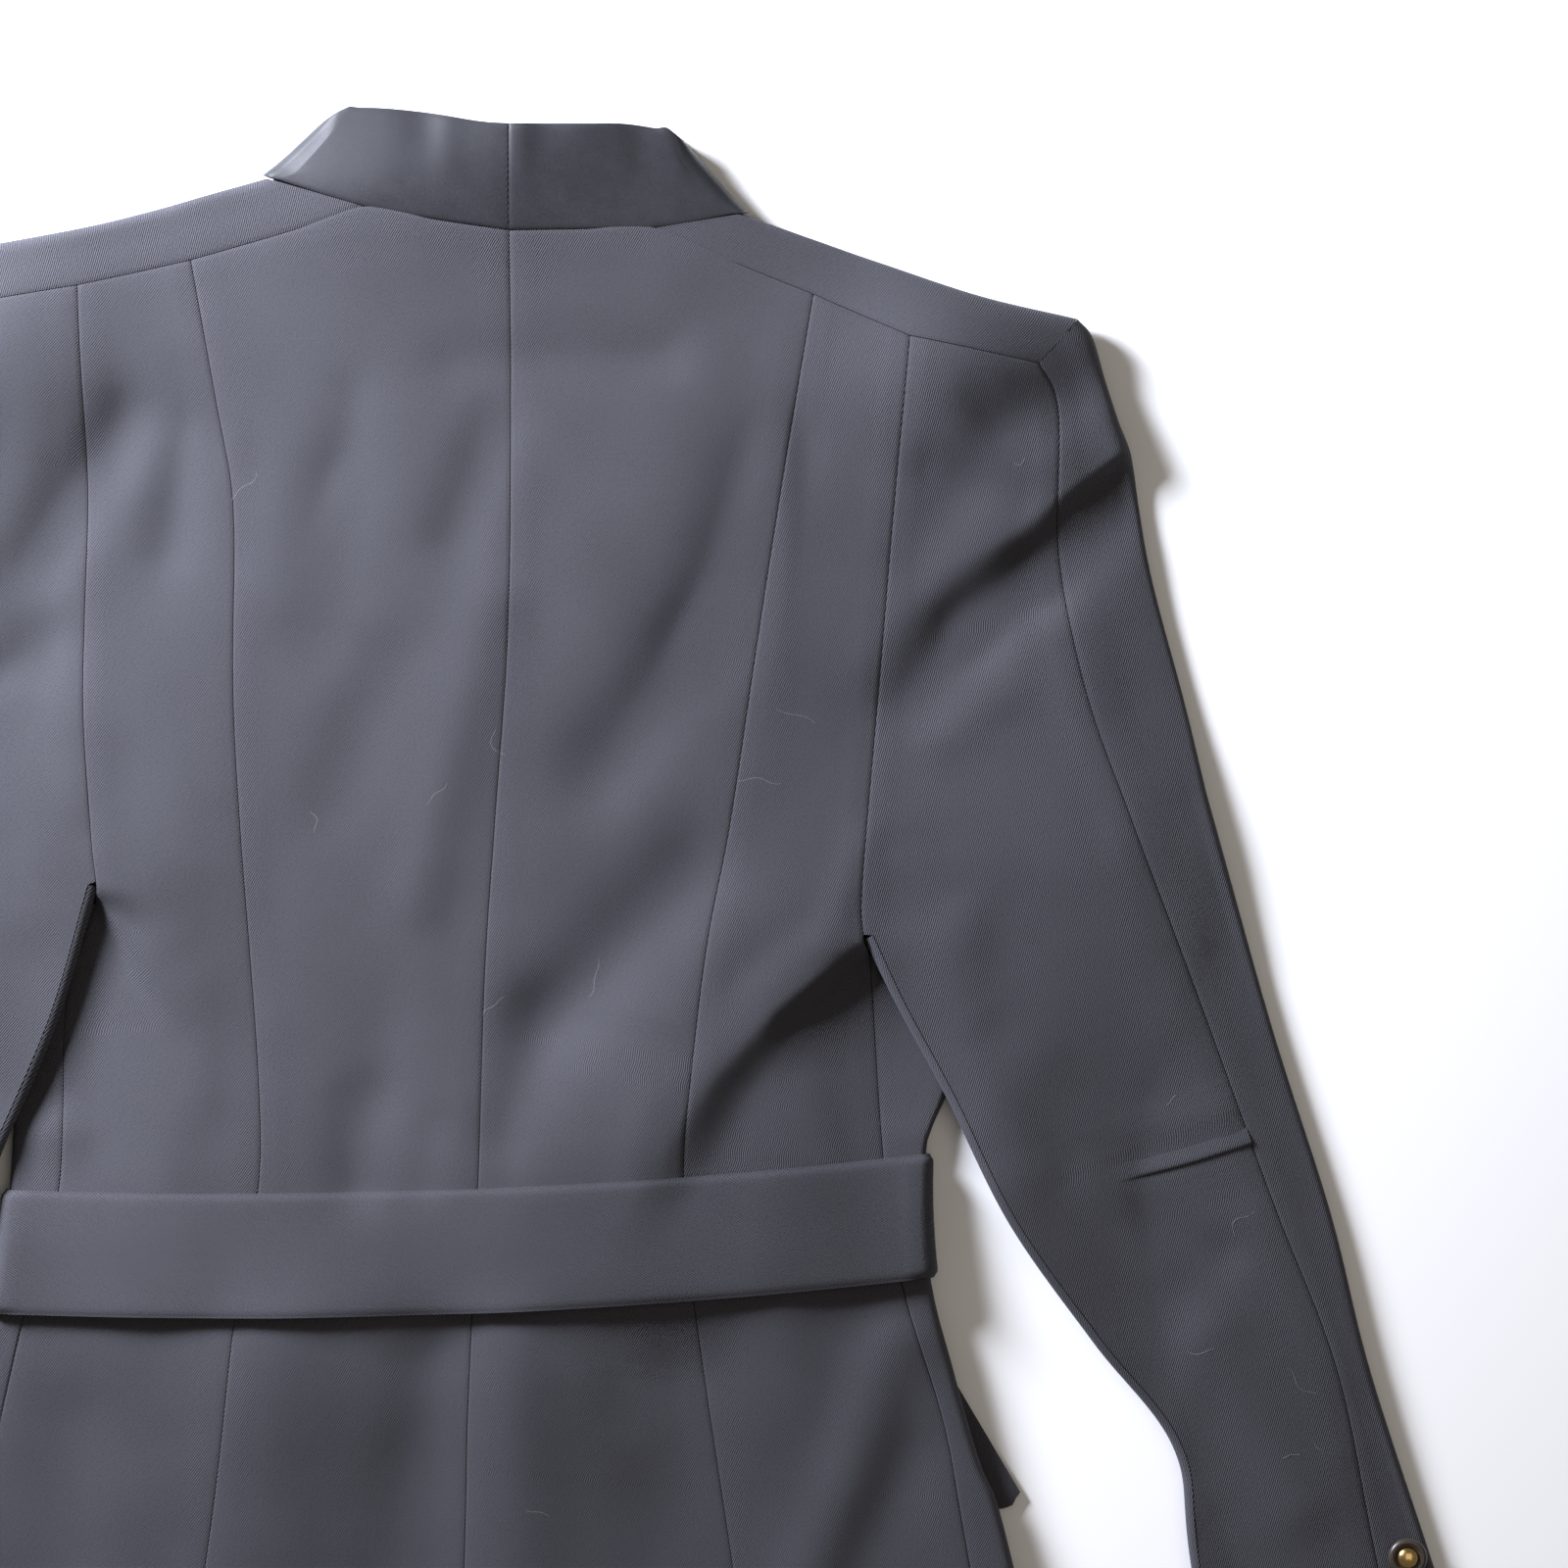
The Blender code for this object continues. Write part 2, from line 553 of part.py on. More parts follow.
def sleeve_pieces(side, line, cloth):
    """The visible back of the sleeve, and the top sleeve that wraps both edges and the underside."""
    flat = sleeve_back_grid(line)
    flat = inset(flat, ("first", "start", "end"))
    outer, inner = lift(flat, sleeve_top(flat[..., 0], flat[..., 1]), WALL)
    wall_solid("under_sleeve_" + side, outer, inner, cloth)

    sign = 1 if side == "right" else -1
    edge = line["outer"]
    inward = normals(edge, -sign)
    inward[0] = line["shoulder_end"][1]
    inward[1] = unit(inward[0] + inward[1])
    guess = edge + inward * 4.0
    top = sleeve_top(guess[:, 0], guess[:, 1])
    low = sleeve_low(guess[:, 0], guess[:, 1])
    arc_outer, arc_inner, centre = wrap(edge, inward, top, low, WALL)
    upper, upper_in = strip(line["elbow"], centre, 2, sleeve_top, WALL)

    fold = line["fold"]
    fold_in = normals(fold, sign)
    guess = fold + fold_in * 3.0
    fold_top = sleeve_top(guess[:, 0], guess[:, 1])
    fold_low = sleeve_low(guess[:, 0], guess[:, 1])
    inner_outer, inner_inner, fold_centre = wrap(fold, fold_in, fold_top, fold_low, WALL)
    far = np.vstack([line["front_armhole"][:-1], fold_centre])
    lower, lower_in = strip(centre, far, 4, sleeve_low, WALL, upward=False)
    rows = len(edge)
    cap = rows - len(fold)
    turned_outer = np.zeros((rows, ARC_STEPS + 1, 3))
    turned_inner = np.zeros((rows, ARC_STEPS + 1, 3))
    turned_outer[cap:] = inner_outer[:, ::-1]
    turned_inner[cap:] = inner_inner[:, ::-1]
    outer = np.concatenate([upper[:, :-1], arc_outer, lower[:, 1:-1], turned_outer], axis=1)
    inner = np.concatenate([upper_in[:, :-1], arc_inner, lower_in[:, 1:-1], turned_inner], axis=1)
    seam = outer.shape[1] - ARC_STEPS - 1
    outer[:cap, seam] = lower[:cap, -1]
    inner[:cap, seam] = lower_in[:cap, -1]
    used = np.ones((rows - 1, outer.shape[1] - 1), bool)
    used[:cap, seam:] = False
    outer = inset(outer, ("start", "first", "end"))
    inner = inset(inner, ("start", "first", "end"))
    outer[:cap, seam] = draw_back(outer[:cap, seam], outer[:cap, seam - 1])
    inner[:cap, seam] = draw_back(inner[:cap, seam], inner[:cap, seam - 1])
    wall_solid("top_sleeve_" + side, outer, inner, cloth, used)


def draw_back(points, towards, amount=SEAM_GAP / 2):
    return points + unit(towards - points) * amount


def sleeve_low(x, y):
    return np.maximum(sleeve_under(x, y), yoke_under(x, y) * smooth(-110, -70, y))


def sleeve_back_grid(line):
    """Rows from the armhole or the inner fold to the elbow seam; the first row lies on the yoke."""
    fold = line["fold"]
    sign = 1 if fold[0, 0] > 0 else -1
    fold_in = normals(fold, sign)
    guess = fold + fold_in * 3.0
    top = sleeve_top(guess[:, 0], guess[:, 1])
    low = sleeve_low(guess[:, 0], guess[:, 1])
    start = fold + fold_in * ((top - low) / 2)[:, None]
    start = np.vstack([line["armhole"][:-1], start])
    return blend_rows(start, line["elbow"], line["yoke_sleeve"], len(start) - 1)


def front_piece(side, line, cloth):
    """One front: from the shoulder seam to the hem, and from its free edge to the armhole and side."""
    sign = 1 if side == "right" else -1
    rows = len(line["outer_side"]) - 1
    outer_edge = np.vstack([line["front_armhole"], line["front_side"]])
    outer_edge = outer_edge[: rows + 1]
    top = line["shoulder_low"]
    down = (outer_edge[:, 1] - outer_edge[0, 1]) / (outer_edge[-1, 1] - outer_edge[0, 1])
    y = top[0, 1] + (HEM_Y - top[0, 1]) * down
    free = np.column_stack([front_edge_x(y, sign), y])
    free[0] = top[0]
    free[:, 1] += np.where(y < -560, (y + 560) / (HEM_Y + 560), 0) * HEM_SLOPE * free[:, 0]
    flat = blend_rows(free, outer_edge, top, rows)
    flat = inset(flat, ("first", "end"))
    height = front_low(flat[..., 0], flat[..., 1], sign)
    outer = np.dstack([flat, height])
    inner = np.dstack([flat, height + WALL])
    wall_solid("front_" + side, outer, inner, cloth)


def front_low(x, y, sign):
    """The lower face of a front; the left one climbs over the right one."""
    level = np.maximum(under(x, y), yoke_under(x, y))
    if sign < 0:
        level = level + (WALL + OVERLAP_GAP) * doubled(x, y)
    return level


def collar_piece(side, line, satin):
    """Half the satin collar: a band above the neck seam that folds under at its slanted end."""
    sign = 1 if side == "right" else -1
    table = RIGHT if side == "right" else LEFT
    low_edge = chain(line["neck"], line["neck_end"])
    top_edge = curve(table["collar_top"], len(low_edge) - 1)
    fold = np.linspace(np.array(table["collar_fold"], float), top_edge[-1], 4)
    run = unit(fold[-1] - fold[0])
    inward = np.tile(np.array([-run[1], run[0]]) * sign, (4, 1))
    guess = fold + inward * 3.0
    top = body_top(guess[:, 0], guess[:, 1]) + 0.0
    low = np.full(4, LAPEL_LOW)
    arc_outer, arc_inner, centre = wrap(fold, inward, top, low, COLLAR_WALL)
    shares = np.linspace(0, 1, 4)
    band = low_edge[:, None] * (1 - shares[None, :, None]) + top_edge[:, None] * shares[None, :, None]
    band = band[:-1]
    outer, inner = lift(band, body_top(band[..., 0], band[..., 1]), COLLAR_WALL)
    under_rows = lapel_start(centre, sign)
    line["collar_low_end"] = under_rows[-1]
    lower = np.dstack([under_rows, np.full(under_rows.shape[:2], LAPEL_LOW)])
    lower_in = lower + np.array([0, 0, WALL])
    outer = np.concatenate([outer, arc_outer.transpose(1, 0, 2), lower[1:]], axis=0)
    inner = np.concatenate([inner, arc_inner.transpose(1, 0, 2), lower_in[1:]], axis=0)
    outer[:, 0, 1] += SEAM_GAP
    inner[:, 0, 1] += SEAM_GAP
    outer[0, :, 0] += sign * SEAM_GAP / 2
    inner[0, :, 0] += sign * SEAM_GAP / 2
    wall_solid("collar_" + side, outer, inner, satin)


LAPEL_LOW = 0.7


def lapel_start(centre, sign):
    """The short run of the collar under the fold, from the fold to the lapel's seam."""
    rows = [centre]
    for step in (1, 2):
        moved = centre + np.array([-sign * 2.0 * step, -11.0 * step])
        rows.append(moved)
    return np.stack(rows)


def lapel_piece(side, line, satin):
    """The satin facing of a lapel, under the front along its neckline, widest at the chest."""
    sign = 1 if side == "right" else -1
    end_y = BREAK_Y + 12 if sign > 0 else -112.0
    y = np.linspace(-38.0, end_y, 9)
    share = (-38.0 - y) / (-38.0 - BREAK_Y)
    width = 18 + 48 * np.sin(np.pi * share**0.85) * (1 - 0.7 * share)
    free = front_edge_x(y, sign) + sign * 3.0
    parts = np.linspace(1, 0, 4)
    flat = [np.column_stack([free + sign * width * part, y + 4 * part]) for part in parts]
    flat = np.stack(flat, axis=1)
    first = line["collar_low_end"] + unit(flat[0] - line["collar_low_end"]) * SEAM_GAP
    flat = np.concatenate([first[None], flat])
    low = np.full(flat.shape[:2], LAPEL_LOW)
    outer = np.dstack([flat, low])
    inner = np.dstack([flat, low + WALL])
    wall_solid("lapel_" + side, outer, inner, satin)


def flap_piece(side, line, cloth):
    """A pocket flap on the outside of the front, which stands past the body's edge."""
    table = RIGHT if side == "right" else LEFT
    inner_top, outer_top, outer_low, inner_low = [np.array(p, float) for p in table["flap"]]
    upper = np.linspace(inner_top, outer_top, 7)
    lower = np.linspace(inner_low, outer_low, 7)
    bow = np.sin(np.linspace(0, np.pi, 7))[:, None] * np.array([0, -3.0])
    flat = np.stack([upper, (upper + lower) / 2, lower + bow], axis=1)
    low = np.full(flat.shape[:2], UNDER_LIFT - WALL - 0.5)
    wall_solid("pocket_flap_" + side, np.dstack([flat, low]), np.dstack([flat, low + WALL]), cloth)


def belt_piece(cloth):
    """The belt: over the back, round both edges of the waist and under the fronts, its ends meeting
    over the buckle."""
    middle, width = BACK_STRETCH
    levels = np.array([middle + 1.0, middle - width / 2, middle - width])
    columns = []
    for y_offset in levels:
        columns.append(belt_ring(y_offset))
    outer = np.stack([ring[0] for ring in columns], axis=1)
    inner = np.stack([ring[1] for ring in columns], axis=1)
    wall_solid("belt", outer, inner, cloth)


def belt_ring(level):
    """One line round the waist: points of the belt's outer and inner face, from the right of the
    centre front, over the back, to the left of it."""
    slope = 0.037
    right_x = float(x_at(RIGHT["edge"], level + slope * 154))
    left_x = float(x_at(LEFT["edge"], level - slope * 185))
    faces = []
    for rise in (BELT_WALL + CROSSING_GAP, CROSSING_GAP):
        points = []
        for x in np.linspace(0.2, right_x - 7, 7):
            low = float(under(x, level)) - rise
            points.append((x, level + slope * x, low))
        points += belt_turn(right_x, level + slope * right_x, 1, rise)
        for x in np.linspace(right_x - 8, left_x + 8, 17):
            y = level + slope * x
            points.append((x, y, float(body_top(x, y)) + rise))
        points += belt_turn(left_x, level + slope * left_x, -1, rise)[::-1]
        for x in np.linspace(left_x + 7, -0.2, 7):
            low = float(under(x, level)) - rise
            points.append((x, level + slope * x, low))
        faces.append(np.array(points))
    return faces


def belt_turn(x, y, sign, rise):
    """The belt's turn round one edge of the waist, from the lower face to the upper one."""
    low = float(under(x - 3 * sign, y))
    top = float(body_top(x - 3 * sign, y))
    radius = (top - low) / 2
    points = []
    for turn in np.linspace(-75, 75, 6):
        angle = np.radians(turn)
        size = radius + rise + 0.4
        points.append((x - sign * radius + sign * size * np.cos(angle), y,
                       (top + low) / 2 + size * np.sin(angle)))
    return points


def disc(name, place, radius, thick, bottom, material, dome=0.0, sides=16):
    """A button: a flat disc with rounded rims and, where asked, a low dome on its upper face."""
    rings = [(0.90, 0.0), (1.0, 0.22), (1.0, 0.72), (0.88, 1.0)]
    mesh = bmesh.new()
    loops = []
    for size, level in rings:
        loop = []
        for step in range(sides):
            angle = 2 * np.pi * step / sides
            loop.append(mesh.verts.new((place[0] + radius * size * np.cos(angle),
                                        place[1] + radius * size * np.sin(angle),
                                        bottom + thick * level)))
        loops.append(loop)
    for low, high in zip(loops[:-1], loops[1:]):
        for step in range(sides):
            after = (step + 1) % sides
            mesh.faces.new([low[step], low[after], high[after], high[step]])
    mesh.faces.new(loops[0][::-1])
    crown = mesh.verts.new((place[0], place[1], bottom + thick + dome))
    for step in range(sides):
        mesh.faces.new([loops[-1][step], loops[-1][(step + 1) % sides], crown])
    bmesh.ops.recalc_face_normals(mesh, faces=mesh.faces[:])
    finish(name, mesh, material)


def button_pieces(line_right, line_left, rim):
    """Six buttons under the fronts, two columns of three, and three on each sleeve by its opening."""
    for row, y in enumerate(FRONT_BUTTON_ROWS, 1):
        for side, sign in (("right", 1), ("left", -1)):
            x = float(centre_x(y)) + sign * 52.0
            disc("front_button_%s_%d" % (side, row), (x, y), BUTTON_LARGE, 3.0, 0.0, rim, sides=20)
    for side, line in (("right", line_right), ("left", line_left)):
        for number, level in enumerate(CUFF_BUTTONS, 1):
            x, y = cuff_button_place(line, level)
            bottom = float(button_seat(x, y))
            disc("cuff_button_%s_%d" % (side, number), (x, y), BUTTON_SMALL, 3.0, bottom, rim, 1.4)


CUFF_BUTTONS = (0.735, 0.79, 0.845)


def cuff_button_place(line, share):
    """A button's centre: a fixed way in from the outer edge, at a share of the lower sleeve."""
    edge = line["outer"][ARM_ROWS:]
    inner = line["elbow"][ARM_ROWS:]
    at = share * (len(edge) - 1)
    rows = np.arange(len(edge))
    edge_point = np.array([np.interp(at, rows, edge[:, axis]) for axis in (0, 1)])
    seam_point = np.array([np.interp(at, rows, inner[:, axis]) for axis in (0, 1)])
    return edge_point + unit(seam_point - edge_point) * 8.6


def button_seat(x, y):
    """The cloth's highest point under a small button, and the seam's gap above it."""
    reach = BUTTON_SMALL
    angles = np.linspace(0, 2 * np.pi, 12)
    ring = sleeve_top(x + reach * np.cos(angles), y + reach * np.sin(angles))
    return max(float(ring.max()), float(sleeve_top(x, y))) + SEAM_GAP


def buckle_piece(material):
    """A plain covered frame under the belt where its ends meet."""
    x0, x1 = -24.0, 24.0
    middle, width = BACK_STRETCH
    y0, y1 = middle - width - 5.0, middle + 6.0
    bar = 7.0
    mesh = bmesh.new()
    rings = []
    for inset_by, level in ((0, 0.6), (0, 2.8), (bar, 2.8), (bar, 0.6)):
        corners = [(x0 + inset_by, y0 + inset_by), (x1 - inset_by, y0 + inset_by),
                   (x1 - inset_by, y1 - inset_by), (x0 + inset_by, y1 - inset_by)]
        rings.append([mesh.verts.new((x, y, level)) for x, y in corners])
    for ring, after in zip(rings, rings[1:] + rings[:1]):
        for step in range(4):
            following = (step + 1) % 4
            mesh.faces.new([ring[step], ring[following], after[following], after[step]])
    bmesh.ops.recalc_face_normals(mesh, faces=mesh.faces[:])
    finish("buckle", mesh, material)


def stand_on_origin():
    """Moves every piece so that the middle of the underside is at the origin, in metres."""
    ends = []
    for thing in MADE.values():
        ends += [tuple(vertex.co) for vertex in thing.data.vertices]
    ends = np.array(ends)
    low, high = ends.min(axis=0), ends.max(axis=0)
    shift = np.array([(low[0] + high[0]) / 2, (low[1] + high[1]) / 2, low[2]])
    print("nape is at", np.round(-shift, 3), "size", np.round(high - low, 2))
    for thing in MADE.values():
        for vertex in thing.data.vertices:
            vertex.co = [(vertex.co[axis] - shift[axis]) * 0.001 for axis in range(3)]


def main():
    for thing in list(bpy.data.objects):
        bpy.data.objects.remove(thing, do_unlink=True)
    complete_left()
    cloth = fabric("charcoal_twill", CHARCOAL, 0.85)
    satin = fabric("dark_satin", SATIN, 0.42)
    rim = fabric("dark_gold_button", (0.45, 0.33, 0.14), 0.35, 1.0)
    lines = {}
    for side in ("right", "left"):
        line = seams_of(side)
        lines[side] = line
        back_pieces(side, line, cloth)
        side_panel(side, line, cloth)
        yoke_piece(side, line, cloth)
        sleeve_pieces(side, line, cloth)
        front_piece(side, line, cloth)
        collar_piece(side, line, satin)
        lapel_piece(side, line, satin)
        flap_piece(side, line, cloth)
    belt_piece(cloth)
    buckle_piece(cloth)
    button_pieces(lines["right"], lines["left"], rim)
    stand_on_origin()


main()
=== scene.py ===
"""Looks of a double-breasted belted blazer that lies face down: its cloth, satin, buttons and light.

Every cloth piece is a thin wall over a flat shape. The shape is a grid between two seams, and the
height is a field over the surface: the stack of panels, the padded shoulders, the main folds, the
small creases and the roll of each seam. Sizes in the tables are millimetres from the nape.
"""

import math

import bpy
import numpy as np
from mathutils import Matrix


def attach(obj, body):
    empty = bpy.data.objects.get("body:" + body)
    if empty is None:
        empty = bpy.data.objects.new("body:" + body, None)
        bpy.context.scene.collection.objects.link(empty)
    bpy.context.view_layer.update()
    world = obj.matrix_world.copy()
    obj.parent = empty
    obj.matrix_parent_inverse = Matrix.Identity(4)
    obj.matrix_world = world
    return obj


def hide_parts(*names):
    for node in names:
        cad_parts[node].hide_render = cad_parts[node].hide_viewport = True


bl_info = {
    "name": "Belted blazer looks",
    "version": (1, 0, 0),
    "blender": (4, 5, 0),
    "location": "View3D > Sidebar > Blazer",
    "description": "Builds the cloth, buttons and studio of a belted blazer round its frame",
    "category": "Object",
}

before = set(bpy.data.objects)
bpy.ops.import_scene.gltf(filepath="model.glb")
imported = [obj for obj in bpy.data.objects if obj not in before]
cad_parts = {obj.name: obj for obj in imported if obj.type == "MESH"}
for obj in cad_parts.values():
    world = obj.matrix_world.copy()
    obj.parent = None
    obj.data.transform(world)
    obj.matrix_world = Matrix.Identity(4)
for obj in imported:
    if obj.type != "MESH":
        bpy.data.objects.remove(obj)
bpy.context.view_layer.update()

# The nape's place in the frame
NAPE_X = -13.061
NAPE_Y = 324.86
# Walls, the gap of a seam that shows and of one that doesn't, and the gaps between crossing layers
WALL = 1.6
COLLAR_WALL = 2.2
BELT_WALL = 1.8
SEAM_GAP = 0.3
HIDDEN_GAP = 0.07
CROSSING_GAP = 0.9
OVERLAP_GAP = 1.2
# The stack of the cloth's layers where it lies loose and where it is pressed, and the air in a loose one
FLAT_STACK = 6.2
PRESSED_STACK = 4.5
AIR = 1.6
# What it rests on: the fronts' height over the surface, a lapel's, and the rises over the buckle and
# where both fronts lie, loose and pressed
UNDER_LIFT = 3.3
LAPEL_LOW = 0.7
BUCKLE_RISE = 2.8
TWICE_RISE = 1.6
DOUBLED_RISE = 2.3
# The lift of the waist, and how far each sleeve presses the body's side down
WAIST_LIFT = 4.1
PRESS_RIGHT = 3.4
PRESS_LEFT = 4.4
# Half the width of an armpit's step where it starts, and how that grows with the way along it
STEP_SOFT = 2.6
STEP_SOFTER = 0.07
# The hem, and the height from which the cloth follows its slope
HEM_Y = -690.0
HEM_SLOPE = 0.02
HEM_BEND_Y = -560.0
# The belt's upper edge and width, the way between its rows, and the band of the back that it covers
BELT_TOP = -356.0
BELT_WIDTH = 44.5
BELT_STEP = 3.0
BELT_ROWS = (-405.0, -340.0)
# Where a front's free edge turns from the neckline to straight down, and how far the fronts overlap
BREAK_Y = -250.0
OVERLAP = 80.0
NECKLINE_TOP = -15.0
# Buttons: radii, rows of the front ones, way in from the centre, and shares of the lower sleeve
BUTTON_LARGE = 11.5
BUTTON_SMALL = 7.4
FRONT_BUTTON_ROWS = (-285.0, -452.0, -530.0)
FRONT_BUTTON_SIDE = 52.0
CUFF_BUTTONS = (0.735, 0.79, 0.845)
CUFF_BUTTON_IN = 8.6
# The steps of the grids: over the body, over a sleeve, and where nothing shows
SHELL_STEP = 2.6
SLEEVE_STEP = 1.9
COARSE_STEP = 7.0
# The lengths that the rows share out: the body, side panel and fronts, a sleeve's head and its arm
BODY_LENGTH = 690.0
SIDE_LENGTH = 422.0
FRONT_LENGTH = 670.0
CAP_LENGTH = 225.0
ARM_LENGTH = 380.0
CAP_ROWS = 116
ARM_ROWS = 150
SHOULDER_STEPS = 60
# The collar's neck seam, slanted fold and band, and a pocket flap's length and depth
NECK_LENGTH = 92.0
COLLAR_FOLD_LENGTH = 36.0
BAND_HEIGHT = 38.0
FLAP_SIZE = (125.0, 50.0)
# A seam's edge: the fine steps beside it, the dip of its roll and the ridge of its allowance, the
# share of the creases' heights, and the share of the roll at the collar's centre seam
EDGE_STEPS = (0.0, 0.5, 1.1, 2.0, 3.4)
ROLL_DEPTH = 0.32
ROLL_REACH = 0.85
RIDGE_HEIGHT = 0.12
RIDGE_PLACE = 6.5
RIDGE_REACH = 3.0
CREASE_SHARE = 0.75
CENTRE_ROLL = 0.6
# The shoulder pads' and the neck's height, the body's tilt, and how the left sleeve swings in
PAD_HEIGHT = 10.0
NECK_DOME = 6.5
SHOULDER_TILT = (0.9984, -0.0558)
SWING_PIVOT = (-182.0, -140.0)
LEFT_SWING = 12.0

# Seams and edges of each side, from the neck or shoulder down
RIGHT = {
    "neck": [(0, 0), (27, 0.6), (54, 1.2)],
    "shoulder": [(86.0, 6.6), (101.4, 1.1), (137.6, -11.6), (173.8, -23.9), (210, -32.2)],
    "yoke": [(54, 1.2), (86.9, -13), (112.2, -23.2), (147.7, -39.1), (195.5, -49.2)],
    "princess": [(112.2, -23.2), (101.4, -88.3), (92.3, -146.2), (81.5, -218.6), (73.1, -262.1),
                 (67, -312.8), (64.4, -349), (68.1, -394.2), (82.5, -493.8), (112, -690)],
    "armhole": [(147.7, -39.1), (141.9, -102.8), (136.5, -168), (130.3, -240.4), (130.6, -261.7)],
    "side": [(133.2, -267.5), (138.3, -345.4), (144.8, -388.8), (160.4, -440.6),
             (169.8, -492.3), (206, -690)],
    "edge": [(187, -262), (161.1, -320.7), (153.9, -341), (155.4, -385.2), (164.2, -421.2),
             (173.6, -454.3), (186.4, -493.8), (228, -690)],
    "front_armhole": [(193.5, -59), (176, -110), (165, -170), (161, -220), (163, -256)],
    "front_side": [(162, -266), (134, -341), (136, -385), (152, -440), (165, -494), (205, -690)],
    "fold": [(130.9, -261.7), (143.7, -287.4), (161.5, -320.4), (184.5, -366.7), (215.8, -410.9),
             (245.4, -449.8), (252, -493.8), (270, -611)],
    "elbow": [(195.5, -49.2), (202.7, -66.6), (203, -118), (213, -170), (231, -221)],
    "elbow_low": [(231, -221), (254.7, -283.4), (282.4, -359.3), (306.3, -422.1), (321.1, -493.8),
                  (344, -594.5)],
    "outer": [(210, -32.2), (215.6, -39), (220.4, -55), (225.2, -70), (230, -83), (232.8, -101),
              (236, -120), (240.4, -139), (249.6, -173), (258, -208)],
    "outer_low": [(258, -208), (282.4, -294.7), (304.1, -363.5), (318.6, -421.4), (342.1, -493.8),
                  (372.5, -588)],
    "flap": [(68, -426), (162, -421), (191.5, -471), (72, -484)],
}
LEFT = {
    "neck": [(0, 0), (-27, 3.8), (-53.6, 8.7)],
    "shoulder": [(-90.0, 19.6), (-105, 15.6), (-132.9, 8), (-160.4, 1.4), (-212.3, -8.4)],
    "yoke": [(-53.6, 8.7), (-79.3, 0.4), (-118, -10.5), (-159.6, -19.9), (-199.7, -27.1)],
    "princess": [(-118, -10.5), (-107.9, -66.6), (-102.1, -102.8), (-102.1, -168), (-99.5, -218.6),
                 (-92.3, -312.8), (-92.3, -354.4), (-100.6, -399.6), (-112.2, -493.8), (-145, -690)],
    "armhole": [(-159.6, -19.9), (-156.4, -95.6), (-157.8, -168), (-154.5, -220), (-152, -242.2)],
    "side": [(-153.2, -248.5), (-164.3, -285.3), (-166.5, -353.7), (-179.2, -400.7),
             (-200, -494), (-243, -690)],
    "edge": [(-206, -243), (-186, -310), (-184.8, -350.8), (-190, -395), (-203, -440),
             (-222, -494), (-270, -690)],
    "front_armhole": [(-198, -38), (-184, -90), (-176, -150), (-173, -200), (-176, -237)],
    "front_side": [(-177, -247), (-165, -341), (-169, -395), (-184, -440), (-203, -494), (-248, -690)],
    "fold": [(-152, -242.2), (-166.5, -291), (-187.5, -341)],
    "flap": [(-94, -430), (-190, -428), (-222, -474), (-96, -488)],
}
SIDES = {"right": (RIGHT, 1), "left": (LEFT, -1)}
CENTRE_BACK = [(0, 0), (0.4, -59.4), (-0.4, -146.2), (-5.4, -218.6), (-9.1, -276.6),
               (-11.2, -352.6), (-15.2, -439.5), (-16.7, -493.8), (-23.5, -690)]

# The steps from each armpit towards the waist: the cloth on the collar's side lies higher
RIGHT_STEP = [(136, -264), (101, -291), (80, -316), (60, -350)]
LEFT_STEP = [(-154, -245), (-130, -285), (-110, -330)]
# The rolled fold over the right sleeve's head, from the outer edge towards the armhole
CREST = [(231, -81), (205.7, -100.9), (192, -114), (181, -121.7), (165, -131.5), (147, -151)]
CREST_REACH = 46.0
CREST_LOW = 1.4
CREST_GAIN = 2.2

# Round swellings of the cloth: middle, half width across and down, and height
PADS_AND_NECK = [(163, -49, 42, 38, 1.35 * PAD_HEIGHT), (-190, -45, 42, 36, PAD_HEIGHT),
                 (-32, 24, 58, 40, NECK_DOME)]
ARMPITS = [(131, -258, 46, 52, 3.6), (-153, -240, 40, 46, 3.2)]
RIGHT_SWELL = [(100, -264, 40, 42, 4.4)]
WAIST_SWELL = [(66, -320, 32, 40, 4.4)]
LEFT_SWELL = [(-130, -262, 34, 44, 3.0)]

